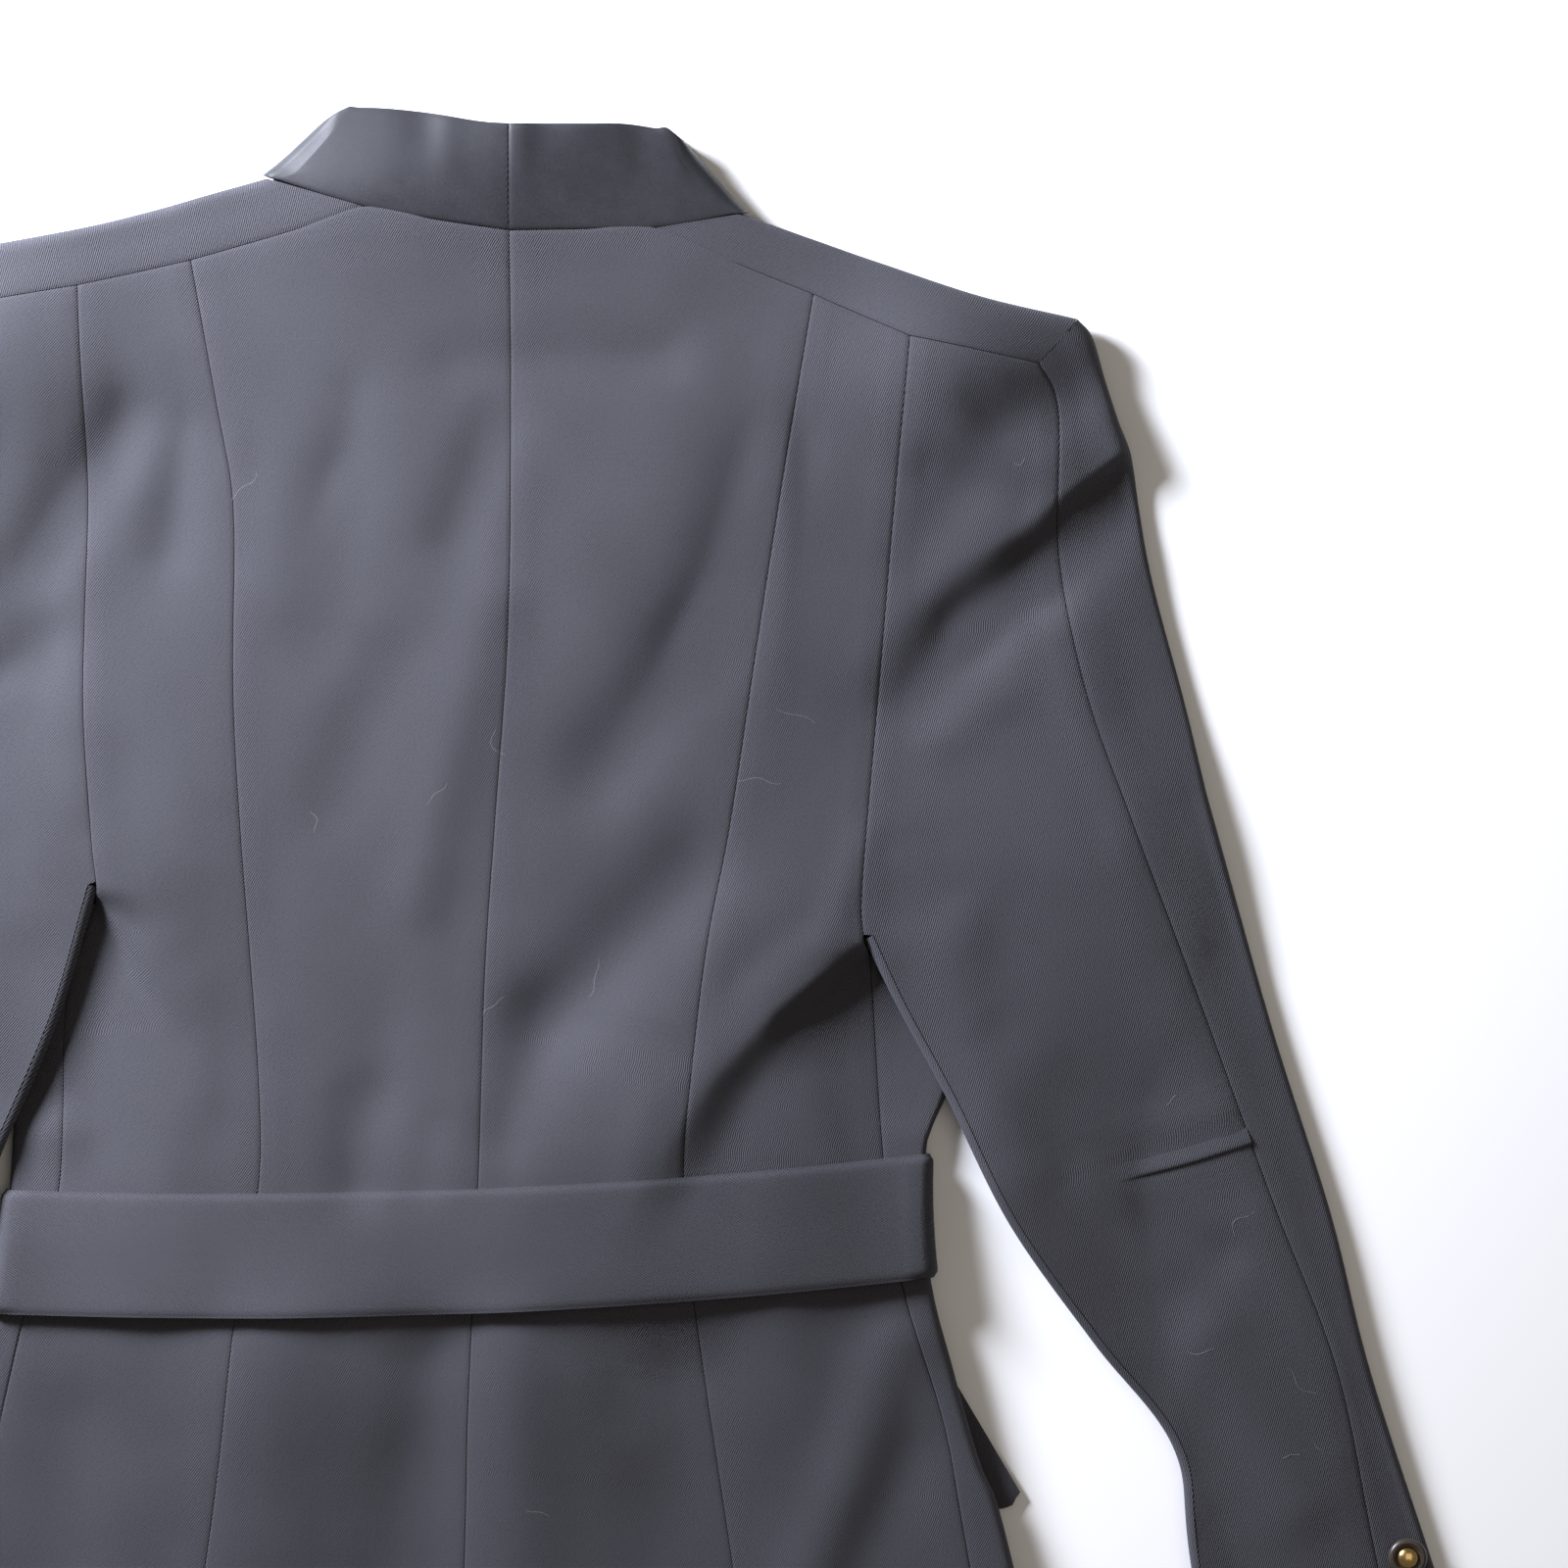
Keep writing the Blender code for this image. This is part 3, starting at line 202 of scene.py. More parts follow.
# Small creases on top of the main folds: line, half width and height
CREASES = [
    # x0, y0, x1, y1, half width, height
    (131, -226, 116, -262, 7, 0.9),
    (120, -272, 96, -300, 8, 1.0),
    (96, -262, 66, -300, 10, -1.0),
    (112, -252, 84, -276, 7, -0.7),
    (150, -90, 200, -78, 12, 0.9),
    (172, -62, 192, -80, 8, -0.8),
    (206, -74, 228, -98, 9, -1.0),
    (158, -190, 186, -170, 8, 0.7),
    (141, -226, 160, -226, 6, -0.6),
    (150, -262, 172, -288, 9, 0.9),
    (168, -268, 196, -300, 12, 0.8),
    (180, -300, 205, -345, 10, -0.9),
    (215, -352, 240, -380, 9, 0.8),
    (238, -330, 262, -326, 8, 0.9),
    (236, -362, 270, -354, 9, -0.8),
    (256, -402, 246, -446, 9, 0.8),
    (262, -480, 286, -520, 9, -0.7),
    (284, -420, 306, -450, 8, 0.6),
    (238, -180, 226, -130, 9, 0.7),
    (262, -262, 250, -214, 8, -0.6),
    (-36, -332, -44, -352, 9, -0.8),
    (-62, -322, -58, -352, 7, -0.8),
    (52, -322, 44, -352, 7, 0.8),
    (6, -330, 8, -352, 8, 0.6),
    (112, -318, 118, -342, 8, 0.7),
    (-120, -322, -126, -352, 9, 0.8),
    (-40, -402, -44, -440, 11, 0.8),
    (36, -398, 40, -436, 10, -0.8),
    (100, -392, 108, -430, 10, 0.9),
    (-130, -404, -136, -446, 11, -0.8),
    (-104, -430, -120, -560, 16, 0.9),
    (150, -452, 114, -512, 11, -1.1),
    (60, -440, 66, -540, 13, 0.8),
    (-24, -480, -30, -600, 16, 0.8),
    (-94, -82, -98, -122, 8, -0.7),
    (-130, -48, -136, -96, 9, 0.6),
    (-150, -230, -128, -262, 8, 0.9),
    (-142, -262, -120, -296, 9, -0.9),
    (-114, -278, -112, -318, 9, 0.8),
    (-72, -230, -80, -290, 12, 0.6),
    (28, -110, 40, -160, 12, 0.6),
    (-30, -240, -34, -300, 12, 0.6),
    (100, -40, 96, -92, 8, 0.6),
    (76, -30, 48, -48, 9, -0.6),
    (-174, -60, -184, -110, 9, 0.8),
    (-190, -160, -204, -230, 10, -0.8),
    (-212, -280, -228, -350, 11, 0.8),
]
# Soft waves of the collar's band: centre x, half width and height at its free edge
COLLAR_WAVES = [(-23, 6, 0.6), (5, 5, 0.7), (25, 8, 0.5), (-42, 9, 0.3), (48, 7, -0.8), (66, 6, 0.7)]
# The collar's visible edges from the centre seam out: its top edge, then its slanted fold, neck first
COLLAR_EDGES = {
    "right": ([(0, 39.4), (28, 39.4), (43, 39.4), (55.7, 37.4), (61.8, 35.1), (64.8, 33.0)],
              [(88.4, 7.0), (84.8, 10.4), (77, 19.3), (68.2, 29.2)]),
    "left": ([(0, 39.4), (-11, 40.3), (-31.5, 43.8), (-50.9, 45.6), (-61, 44.9), (-66.6, 42.6)],
             [(-91.7, 20.6), (-83.3, 27.7), (-75.5, 35), (-70.0, 40.2)]),
}
ELBOW_DART = [(224.4, -351.5), (249, -345.3), (274.4, -337.4)]

# The main folds: line, half width and height, with dark flanks away from the upper left light
MAIN_FOLDS = [
    # x0, y0, x1, y1, half width, height
    (234, -97, 196, -128, 12, -3.0),
    (196, -128, 170, -148, 13, -3.6),
    (170, -148, 150, -174, 12, -3.2),
    (168, -92, 150, -122, 12, -1.4),
    (182, -72, 218, -54, 14, -2.8),
    (156, -88, 188, -100, 10, -2.0),
    (98, -80, 72, -152, 13, -3.8),
    (72, -152, 34, -200, 15, -3.6),
    (60, -84, 22, -172, 26, 1.5),
    (68, -236, 14, -292, 15, -3.6),
    (14, -292, 0, -332, 13, -2.6),
    (40, -212, -6, -268, 24, 1.2),
    (-4, -70, -20, -112, 10, -2.4),
    (-8, -138, -34, -246, 12, 2.2),
    (-46, -160, -66, -215, 13, -2.4),
    (-57, -58, -62, -92, 9, -1.2),
    (-62, -92, -69, -148, 14, -2.9),
    (-19, -49, 56, -47, 11, -2.0),
    (-141, -70, -177, -125, 13, -4.0),
    (-172, -150, -196, -186, 12, -3.0),
    (-118, -76, -126, -118, 10, -2.0),
    (-160, -185, -174, -250, 20, 2.6),
    (-120, -150, -118, -230, 20, 1.6),
    (150, -246, 205, -214, 12, -2.6),
    (202, -222, 184, -284, 17, -2.4),
    (166, -250, 190, -345, 18, 2.4),
    (214, -258, 226, -340, 18, -1.4),
    (230, -365, 262, -378, 9, -1.8),
    (214, -150, 236, -290, 16, 1.6),
    (-44, -292, -50, -322, 13, -1.2),
    (-50, -322, -56, -352, 12, -2.2),
    (-28, -332, -32, -352, 8, -1.0),
    (-88, -412, -98, -640, 22, 3.0),
    (-32, -420, -40, -660, 19, -4.2),
    (2, -410, 6, -600, 15, 2.4),
    (62, -425, 82, -660, 24, -4.8),
    (142, -412, 112, -500, 13, 3.0),
    (-160, -440, -182, -640, 16, -2.2),
    (262, -410, 292, -470, 14, 2.2),
    (285, -520, 330, -570, 14, 1.8),
]
# Lint fibres whose places show in the photo; the others are drawn by chance
LINT_PLACES = [(29, -283), (6, -471), (-74, -214), (98, -176), (250, -214), (299, -430), (268, -372),
               (301, -452)]
LINT_RADIUS = 0.045
STITCH_RADIUS = 0.16

# The twill's ribs rise at this angle, and the satin's floats have this pitch and depth in metres
RIB_ANGLE = 58.0
FLOAT_PITCH = 0.00055
FLOAT_DEPTH = 0.00008

# The studio, in metres: each lamp's place, target, size and colour, the floor and the sensor
KEY_LAMP = ((-0.72, 0.70, 0.42), (0.05, 0.05, 0.0), 0.34, (0.85, 0.89, 1.0))
FILL_LAMP = ((0.55, 0.1, 1.5), (0.1, 0.1, 0.0), 1.2, (1.0, 0.88, 0.74))
SKY_COLOUR = (1.0, 0.95, 0.9, 1.0)
FLOOR_HALF = 6.0
FLOOR_DROP = 0.0002
SENSOR = 36.0
# The camera looks straight down at this point, and its view's width is that at the back's height
VIEW_CENTRE = (101.4, -204.2, 0.0)
BACK_HEIGHT = 0.010


def smooth(low, high, value):
    """0 below low and 1 above high, with a soft turn at both; low may be the larger."""
    part = np.clip((np.asarray(value, float) - low) / (high - low), 0.0, 1.0)
    return part * part * (3.0 - 2.0 * part)


def x_at(points, y):
    """The x of a seam at height y, for a seam that runs down the garment."""
    line = curve(points, 60)
    return np.interp(-np.asarray(y, float), -line[:, 1], line[:, 0])


def to_left(points):
    """Mirrors points of the right sleeve about the tilted body axis, and swings them to the body."""
    across = np.array(SHOULDER_TILT)
    along = np.array((-across[1], across[0]))
    points = np.array(points, float)
    side = points @ across
    down = points @ along
    mirrored = np.outer(-side, across) + np.outer(down, along)
    turn = np.radians(LEFT_SWING) * smooth(-60, -290, mirrored[:, 1])
    offset = mirrored - SWING_PIVOT
    turned = np.stack([offset[:, 0] * np.cos(turn) - offset[:, 1] * np.sin(turn),
                       offset[:, 0] * np.sin(turn) + offset[:, 1] * np.cos(turn)], axis=1)
    return turned + SWING_PIVOT


def complete_left():
    """Gives the left side the sleeve curves that it shares with the right sleeve."""
    low_fold = to_left(RIGHT["fold"][4:])
    LEFT["fold"] = LEFT["fold"] + [tuple(point) for point in low_fold]
    LEFT["elbow"] = [LEFT["yoke"][-1]] + [tuple(p) for p in to_left(RIGHT["elbow"][1:])]
    LEFT["elbow_low"] = [tuple(p) for p in to_left(RIGHT["elbow_low"])]
    LEFT["outer"] = [LEFT["shoulder"][-1]] + [tuple(p) for p in to_left(RIGHT["outer"][1:])]
    LEFT["outer_low"] = [tuple(p) for p in to_left(RIGHT["outer_low"])]


def centre_x(y):
    """The x of the centre back seam at height y."""
    return x_at(CENTRE_BACK, np.minimum(y, 0))


def front_edge_x(y, sign):
    """The free edge of a front at height y, of the right one for sign 1 and of the left one for -1:
    it slants from the neck to the break, and keeps its distance from the centre below that."""
    y = np.asarray(y, float)
    neck_x = 82.0 if sign > 0 else -86.0
    break_x = centre_x(BREAK_Y) - sign * OVERLAP
    share = np.clip((y - NECKLINE_TOP) / (BREAK_Y - NECKLINE_TOP), 0, 1) ** 0.9
    return np.where(y > BREAK_Y, neck_x + (break_x - neck_x) * share, centre_x(y) - sign * OVERLAP)


def under(x, y):
    """Height of the fronts' underside: raised over buttons, lapels, flaps and belt, and on the
    surface beside the chest and along the hem."""
    side = np.abs(x - centre_x(y))
    chest = smooth(112, 130, side) * smooth(-336, -316, y)
    hem = smooth(-625, -660, y)
    buckle = smooth(95, 50, side) * smooth(-455, -415, y) * smooth(-300, -340, y)
    return UNDER_LIFT * (1 - chest) * (1 - hem) + BUCKLE_RISE * buckle


def doubled(x, y):
    """1 where the left front lies over the right one, 0 elsewhere."""
    start = front_edge_x(y, 1)
    return smooth(start - 96, start - 70, x) * smooth(116, 100, x - centre_x(y)) * smooth(-40, -65, y)


def along(x, y, x0, y0, x1, y1, width):
    """1 on the segment, falling smoothly to 0 with the distance from it."""
    run = np.array([x1 - x0, y1 - y0], float)
    part = np.clip(((x - x0) * run[0] + (y - y0) * run[1]) / (run @ run), 0, 1)
    away = np.hypot(x - x0 - part * run[0], y - y0 - part * run[1])
    return np.exp(-((away / width) ** 2))


def step_side(x, y, line, sign):
    """1 on the collar's side of a step line, 0 on the hem's side, softer towards its low end. Each
    point goes by the run of the line that is nearest to it."""
    best = np.full(np.shape(x), 1e9)
    value = np.zeros(np.shape(x))
    travelled = 0.0
    for (x0, y0), (x1, y1) in zip(line[:-1], line[1:]):
        run = np.array([x1 - x0, y1 - y0], float)
        length = np.hypot(*run)
        part = np.clip(((x - x0) * run[0] + (y - y0) * run[1]) / length**2, 0, 1)
        away = np.hypot(x - x0 - part * run[0], y - y0 - part * run[1])
        signed = sign * (run[0] * (y - y0) - run[1] * (x - x0)) / length
        soft = STEP_SOFT + STEP_SOFTER * (travelled + part * length)
        here = smooth(-1.0, 1.0, signed / soft)
        nearer = away < best
        value = np.where(nearer, here, value)
        best = np.minimum(best, away)
        travelled += length
    return value


def swellings(x, y, rows):
    """The sum of round swellings: each is its height times e to the minus of both squared distances
    from its middle, counted in its half widths."""
    height = 0.0
    for x0, y0, wide, deep, size in rows:
        height = height + size * np.exp(-(((x - x0) / wide) ** 2) - (((y - y0) / deep) ** 2))
    return height


def with_folds(height, x, y, rows, share=1.0):
    """Adds folds to a height: each is its own height times a bump across its line."""
    for x0, y0, x1, y1, width, size in rows:
        height = height + share * size * along(x, y, x0, y0, x1, y1, width)
    return height


def unit(vectors):
    """The vectors, each divided by its length."""
    return vectors / np.linalg.norm(vectors, axis=-1, keepdims=True)


def normals(line, sign):
    """Unit vectors square to a sampled line, to its left for sign 1."""
    run = np.gradient(line, axis=0)
    return unit(np.stack([-run[:, 1], run[:, 0]], axis=1)) * sign


def yoke_under(x, y):
    """The lower face at the shoulders rises a little with the pads."""
    return under(x, y) + 0.3 * relief(x, y) * smooth(-95, -60, y + 0.1 * np.abs(x))


def sleeve_low(x, y):
    """The lower face of a sleeve: as high as the shoulder piece's where they meet at the head."""
    return np.maximum(sleeve_under(x, y), yoke_under(x, y) * smooth(-110, -70, y))


def front_low(x, y, sign):
    """The lower face of a front; the left one climbs over the right one."""
    level = np.maximum(under(x, y), yoke_under(x, y))
    if sign < 0:
        level = level + (WALL + OVERLAP_GAP) * doubled(x, y)
    return level


def soft_limit(value, low, soft=0.7):
    """The value where it is well above low, and a soft turn that stays above low elsewhere."""
    return low + soft * np.logaddexp(0.0, (value - low) / soft)


def crest(x, y):
    """The fold that hangs over the right sleeve's head: high on the shoulder's side, with a steep
    drop at the line that softens towards the armhole."""
    spans = zip(CREST[:-1], CREST[1:])
    near = np.max([along(x, y, *start, *end, CREST_REACH) for start, end in spans], axis=0)
    return (CREST_LOW + CREST_GAIN * smooth(140, 200, x)) * near * step_side(x, y, CREST, -1)


def relief(x, y):
    """The padded shoulders, the dome of the neck and the cloth's folds, shared by body and sleeves."""
    return with_folds(swellings(x, y, PADS_AND_NECK), x, y, MAIN_FOLDS) + crest(x, y)


def resting(x, y):
    """Height that the upper cloth rests on: the steps of the fronts below, softened by the cloth,
    and the lift of the waist, which is higher on the right."""
    side = np.abs(x - centre_x(y))
    chest = smooth(50, 142, side) * smooth(-360, -290, y)
    hem = smooth(-590, -670, y)
    buckle = smooth(115, 30, side) * smooth(-475, -415, y) * smooth(-275, -345, y)
    start = front_edge_x(y, 1)
    twice = smooth(start - 140, start - 50, x) * smooth(126, 50, x - centre_x(y)) * smooth(-20, -110, y)
    waist = WAIST_LIFT * smooth(-530, -408, y) * smooth(-240, -350, y) * smooth(165, 100, side)
    waist = waist * (1 + 0.6 * smooth(-70, 20, x))
    return UNDER_LIFT * (1 - chest) * (1 - hem) + BUCKLE_RISE * buckle + TWICE_RISE * twice + waist


def pressed(x, y):
    """How far a sleeve presses down the body's side where it lies over it."""
    right_side = x_at(RIGHT["side"], y)
    left_side = x_at(LEFT["side"], y)
    beyond_right = smooth(right_side - 40, right_side + 3, x)
    beyond_left = smooth(left_side + 40, left_side - 3, x)
    most = np.where(x > 0, PRESS_RIGHT, PRESS_LEFT)
    return most * np.maximum(beyond_right, beyond_left) * smooth(-378, -326, y)


def sleeve_under(x, y):
    """Height of a sleeve's lower face: on the surface, or over the body's side where it crosses it."""
    x = np.asarray(x, float)
    y = np.asarray(y, float)
    right_edge = x_at(RIGHT["edge"], y)
    left_edge = x_at(LEFT["edge"], y)
    over_right = smooth(right_edge + 98, right_edge + 14, x)
    over_left = smooth(left_edge - 98, left_edge - 14, x)
    over = np.where(x > 0, over_right, over_left)
    head = smooth(np.where(x > 0, -160.0, -146.0), np.where(x > 0, -238.0, -218.0), y)
    return (body_low(x, y) + CROSSING_GAP) * over * head


def body_top(x, y):
    """Height of the back's outer face: what it rests on, its stack with the air, and the relief. On
    the collar's side of the steps the armpits and the waist swell. The sleeves press its sides down,
    and past the neck seam the collar lies lower on the left and a little higher on the right."""
    x = np.asarray(x, float)
    y = np.asarray(y, float)
    high = np.where(x > -40, step_side(x, y, RIGHT_STEP, -1), step_side(x, y, LEFT_STEP, 1))
    swell = swellings(x, y, ARMPITS) + swellings(x, y, RIGHT_SWELL + WAIST_SWELL + LEFT_SWELL)
    right_start = smooth(-262.5, -267 - 0.8 * np.clip(134 - x, 0, 60), y)
    left_start = smooth(-243, -247.5 - 0.8 * np.clip(x + 152, 0, 60), y)
    press = pressed(x, y) * np.where(x > 0, right_start, left_start)
    plain = resting(x, y) + FLAT_STACK + AIR + relief(x, y) + swell * high - press
    tilt = 4.4 * smooth(4, -36, x) - 1.6 * smooth(0, 40, x)
    collar_drop = smooth(6, 40, y - 0.1 * np.abs(x)) * smooth(96, 80, np.abs(x)) * tilt
    return soft_limit(plain, under(x, y) + PRESSED_STACK + DOUBLED_RISE * doubled(x, y)) - collar_drop


def body_low(x, y):
    """The back's outer face on the hem's side of the steps, which a sleeve lies on."""
    plain = resting(x, y) + FLAT_STACK + AIR + relief(x, y) - pressed(x, y)
    return soft_limit(plain, under(x, y) + PRESSED_STACK + 0.4 + DOUBLED_RISE * doubled(x, y))


def elbow_x(y):
    """Where the right elbow seam lies at each height."""
    line = np.array(RIGHT["elbow"] + RIGHT["elbow_low"][1:], float)
    return np.interp(-y, -line[:, 1], line[:, 0])


def sleeve_top(x, y):
    """Height of a sleeve's upper face, which falls off past the right elbow seam and carries on the
    body's swellings beside each armpit."""
    x = np.asarray(x, float)
    y = np.asarray(y, float)
    free = FLAT_STACK + AIR + relief(x, y) + swellings(x, y, ARMPITS)
    near_right = smooth(158, 140, x) * (x > 0)
    near_left = smooth(-180, -162, x) * (x < 0)
    swell = swellings(x, y, RIGHT_SWELL) * near_right + swellings(x, y, LEFT_SWELL) * near_left
    turn = 4.2 * smooth(-12, 34, x - elbow_x(y)) * smooth(-80, -150, y)
    below = sleeve_under(x, y)
    pressed_stack = 4.4
    least = below + pressed_stack + (FLAT_STACK - pressed_stack) * smooth(0.0, 2.0, below)
    return soft_limit(free + swell - turn, least)


def dense(points, steps=24):
    """A smooth curve through the points as many short steps, and the length at each: a cubic between
    two points whose slope at each is half the way from the point before it to the one after."""
    knots = np.array(points, float)
    padded = np.vstack([2 * knots[0] - knots[1], knots, 2 * knots[-1] - knots[-2]])
    part = np.linspace(0, 1, steps, endpoint=False)[:, None]
    runs = []
    for index in range(len(knots) - 1):
        before, start, end, after = padded[index : index + 4]
        runs.append(0.5 * (2 * start + (end - before) * part
                           + (2 * before - 5 * start + 4 * end - after) * part**2
                           + (3 * start - before - 3 * end + after) * part**3))
    runs.append(knots[-1:])
    line = np.vstack(runs)
    return line, np.concatenate([[0], np.cumsum(np.linalg.norm(np.diff(line, axis=0), axis=1))])


def sample(points, shares):
    """Points at the given shares of a smooth curve's length."""
    line, length = dense(points)
    at = np.asarray(shares) * length[-1]
    return np.stack([np.interp(at, length, line[:, axis]) for axis in (0, 1)], axis=-1)


def curve(points, count):
    """Points of a smooth curve at even shares of its length."""
    return sample(points, np.linspace(0, 1, count + 1))


def spaced(length, step=SHELL_STEP, first=True, last=True):
    """Distances along a length: close together by its ends, where a seam rolls, and even between."""
    near = list(EDGE_STEPS) if first else [0.0]
    far = [length - step_in for step_in in reversed(EDGE_STEPS)] if last else [length]
    count = max(2, int(round((far[0] - near[-1]) / step)))
    middle = np.linspace(near[-1], far[0], count + 1)[1:-1]
    return np.concatenate([near, middle, far])


def seam_roll(away):
    """The dip of a seam's edge and the low ridge of its allowance, by the distance from the seam."""
    dip = -ROLL_DEPTH * np.exp(-((away / ROLL_REACH) ** 2))
    return dip + RIDGE_HEIGHT * np.exp(-(((away - RIDGE_PLACE) / RIDGE_REACH) ** 2))


def edge_round(away, depth=0.9, reach=1.4):
    """The rounding of a free, turned edge, by the distance from it."""
    return -depth * np.exp(-((away / reach) ** 2))


def creases(x, y):
    """The small creases and the cloth's faint unevenness, a product of two slow sines."""
    height = with_folds(np.zeros(np.shape(x)), x, y, CREASES, CREASE_SHARE)
    drift = np.sin(x / 19.0 + 1.3 * np.sin(y / 37.0)) * np.sin(y / 29.0 + 0.9 * np.sin(x / 31.0))
    return height + 0.22 * drift


def between(start, end, shares):
    """Rows of points that run straight from one line to the other, at the shares of the way."""
    shares = shares[None, :, None]
    return start[:, None] * (1 - shares) + end[:, None] * shares


def pull_first(flat, row, down):
    """Moves a grid's first row onto another; the pull fades with the fifth power of what is left."""
    fade = ((1 - down) ** 5)[:, None, None]
    return flat + fade * (row[None] - flat[:1])


def panel(start, end, first, lengths, step=SHELL_STEP):
    """A grid of flat points between two lines with the same number of rows. The first row follows
    the curve given, and that pull fades down the panel. Also gives each point's distance from the
    start line, from the end line and from the first row."""
    across = np.linalg.norm(end - start, axis=1)
    typical = float(np.median(across))
    shares = spaced(typical, step) / typical
    flat = pull_first(between(start, end, shares), sample(first, shares), lengths / lengths[-1])
    from_start = shares[None, :] * across[:, None]
    from_end = (1 - shares[None, :]) * across[:, None]
    from_first = np.broadcast_to(lengths[:, None], from_start.shape)
    return flat, from_start, from_end, from_first


def pulled(grid, sides, amount=SEAM_GAP / 2):
    """Draws the named sides of a grid back along its own lines, which leaves the gap of a seam."""
    grid = grid.copy()
    places = {"first": (0, 1, 0), "last": (-1, -2, 0), "start": (0, 1, 1), "end": (-1, -2, 1)}
    for side in sides:
        edge, neighbour, axis = places[side]
        here = np.take(grid, edge, axis=axis)
        run = np.take(grid, neighbour, axis=axis) - here
        moved = here + run / np.maximum(np.linalg.norm(run, axis=-1, keepdims=True), 1e-6) * amount
        if axis == 0:
            grid[edge] = moved
        else:
            grid[:, edge] = moved
    return grid


def fold_arc(edge, inward, top, low, wall, steps=9):
    """Points round a fold edge for each row: a half circle whose radius is half the height between
    the faces, and inside it the same less the wall. Also gives the line where the flat cloth starts."""
    radius = (top - low) / 2
    middle = (top + low) / 2
    centre = edge + inward * radius[:, None]
    turn = np.linspace(np.pi / 2, -np.pi / 2, steps + 1)
    faces = []
    for size in (radius, radius - wall):
        flat = centre[:, None] - inward[:, None] * (size[:, None] * np.cos(turn))[..., None]
        height = middle[:, None] + size[:, None] * np.sin(turn)
        faces.append(np.concatenate([flat, height[..., None]], axis=2))
    return faces[0], faces[1], centre


def fold_between(edge, inward, reach, top, low):
    """A fold whose faces have the heights of two fields, read a little way in from the edge."""
    guess = edge + inward * reach
    x, y = guess[:, 0], guess[:, 1]
    return fold_arc(edge, inward, top(x, y), low(x, y), WALL)


def cloth_object(name, outer, inner, grain, finish, used=None):
    """A closed wall from two matching grids: both faces and every free side, worked out as whole
    arrays of quads. Its UV map holds the cloth's own flat place in metres, turned to the grain."""
    rows, columns = outer.shape[:2]
    used = np.ones((rows - 1, columns - 1), bool) if used is None else used
    index = np.arange(rows * columns).reshape(rows, columns)
    corner = np.stack([index[:-1, :-1], index[1:, :-1], index[1:, 1:], index[:-1, 1:]], axis=-1)
    shift = rows * columns
    quads = [corner[used], corner[used][:, ::-1] + shift]
    edge_lists = []
    padded = np.pad(used, 1)
    neighbours = [padded[1:-1, :-2], padded[2:, 1:-1], padded[1:-1, 2:], padded[:-2, 1:-1]]
    for side, beside in enumerate(neighbours):
        free = used & ~beside
        near = corner[free][:, side]
        far = corner[free][:, (side + 1) % 4]
        edge_lists.append(np.stack([far, near, near + shift, far + shift], axis=1))
    quads = np.vstack(quads + edge_lists)
    points = np.vstack([outer.reshape(-1, 3), inner.reshape(-1, 3)])
    turn = math.radians(grain)
    along_cloth = cloth_lengths(outer)
    flat_uv = np.vstack([along_cloth, along_cloth])
    turned = np.stack([flat_uv[:, 0] * math.cos(turn) + flat_uv[:, 1] * math.sin(turn),
                       -flat_uv[:, 0] * math.sin(turn) + flat_uv[:, 1] * math.cos(turn)], axis=1)
    kept = np.unique(quads)
    renumber = np.full(len(points), -1)
    renumber[kept] = np.arange(len(kept))
    quads = renumber[quads]
    points = points[kept]
    turned = turned[kept]
    if signed_volume(points, quads) < 0:
        quads = quads[:, ::-1]
    made = mesh_object(name, in_frame(points), quads, finish, turned / 1000.0)
    across = np.linalg.norm(np.diff(outer, axis=1), axis=2)[:-1] * used
    down = np.linalg.norm(np.diff(outer, axis=0), axis=2)[:, :-1] * used
    width = float(across.sum(axis=1).max()) / 1000.0
    made["cut"] = [max(width, 0.01), float(down.sum(axis=0).max()) / 1000.0]
    return made


def cloth_lengths(outer):
    """Flat cloth coordinates of a grid, in millimetres. Where the cloth lies flat they are x and y;
    up a steep step and round a fold, x also grows with the way along the cloth."""
    flat = outer[..., :2].copy()
    step = np.diff(outer, axis=1)
    length = np.linalg.norm(step, axis=2)
    plan = np.linalg.norm(step[..., :2], axis=2)
    steep = length > 1.04 * plan + 0.01
    flat[:, 1:, 0] += np.cumsum(np.where(steep, length, 0.0), axis=1) * 0.25
    return flat.reshape(-1, 2)


def signed_volume(points, quads):
    """Six times the volume inside the quads: each is two triangles, summed as triple products."""
    a, b, c, d = (points[quads[:, k]] for k in range(4))
    middle = points.mean(axis=0)
    a, b, c, d = a - middle, b - middle, c - middle, d - middle
    return float((np.cross(a, b) * c).sum() + (np.cross(a, c) * d).sum())


def in_frame(points):
    """Millimetres from the nape to metres in the frame."""
    return (np.asarray(points, float) + (NAPE_X, NAPE_Y, 0.0)) / 1000.0


def mesh_object(name, points, faces, finish, uv=None):
    """Makes a mesh object at the origin from whole arrays of points and quads."""
    mesh = bpy.data.meshes.new(name)
    mesh.vertices.add(len(points))
    mesh.vertices.foreach_set("co", np.ascontiguousarray(points, np.float32).ravel())
    mesh.loops.add(faces.size)
    mesh.loops.foreach_set("vertex_index", np.ascontiguousarray(faces, np.int32).ravel())
    mesh.polygons.add(len(faces))
    mesh.polygons.foreach_set("loop_start", np.arange(0, faces.size, faces.shape[1], dtype=np.int32))
    mesh.update(calc_edges=True)
    if uv is not None:
        layer = mesh.uv_layers.new(name="cloth")
        layer.data.foreach_set("uv", uv[faces.ravel()].astype(np.float32).ravel())
    mesh.shade_smooth()
    mesh.set_sharp_from_angle(angle=math.radians(52))
    mesh.validate()
    made = bpy.data.objects.new(name, mesh)
    bpy.context.scene.collection.objects.link(made)
    mesh.materials.append(finish)
    return made


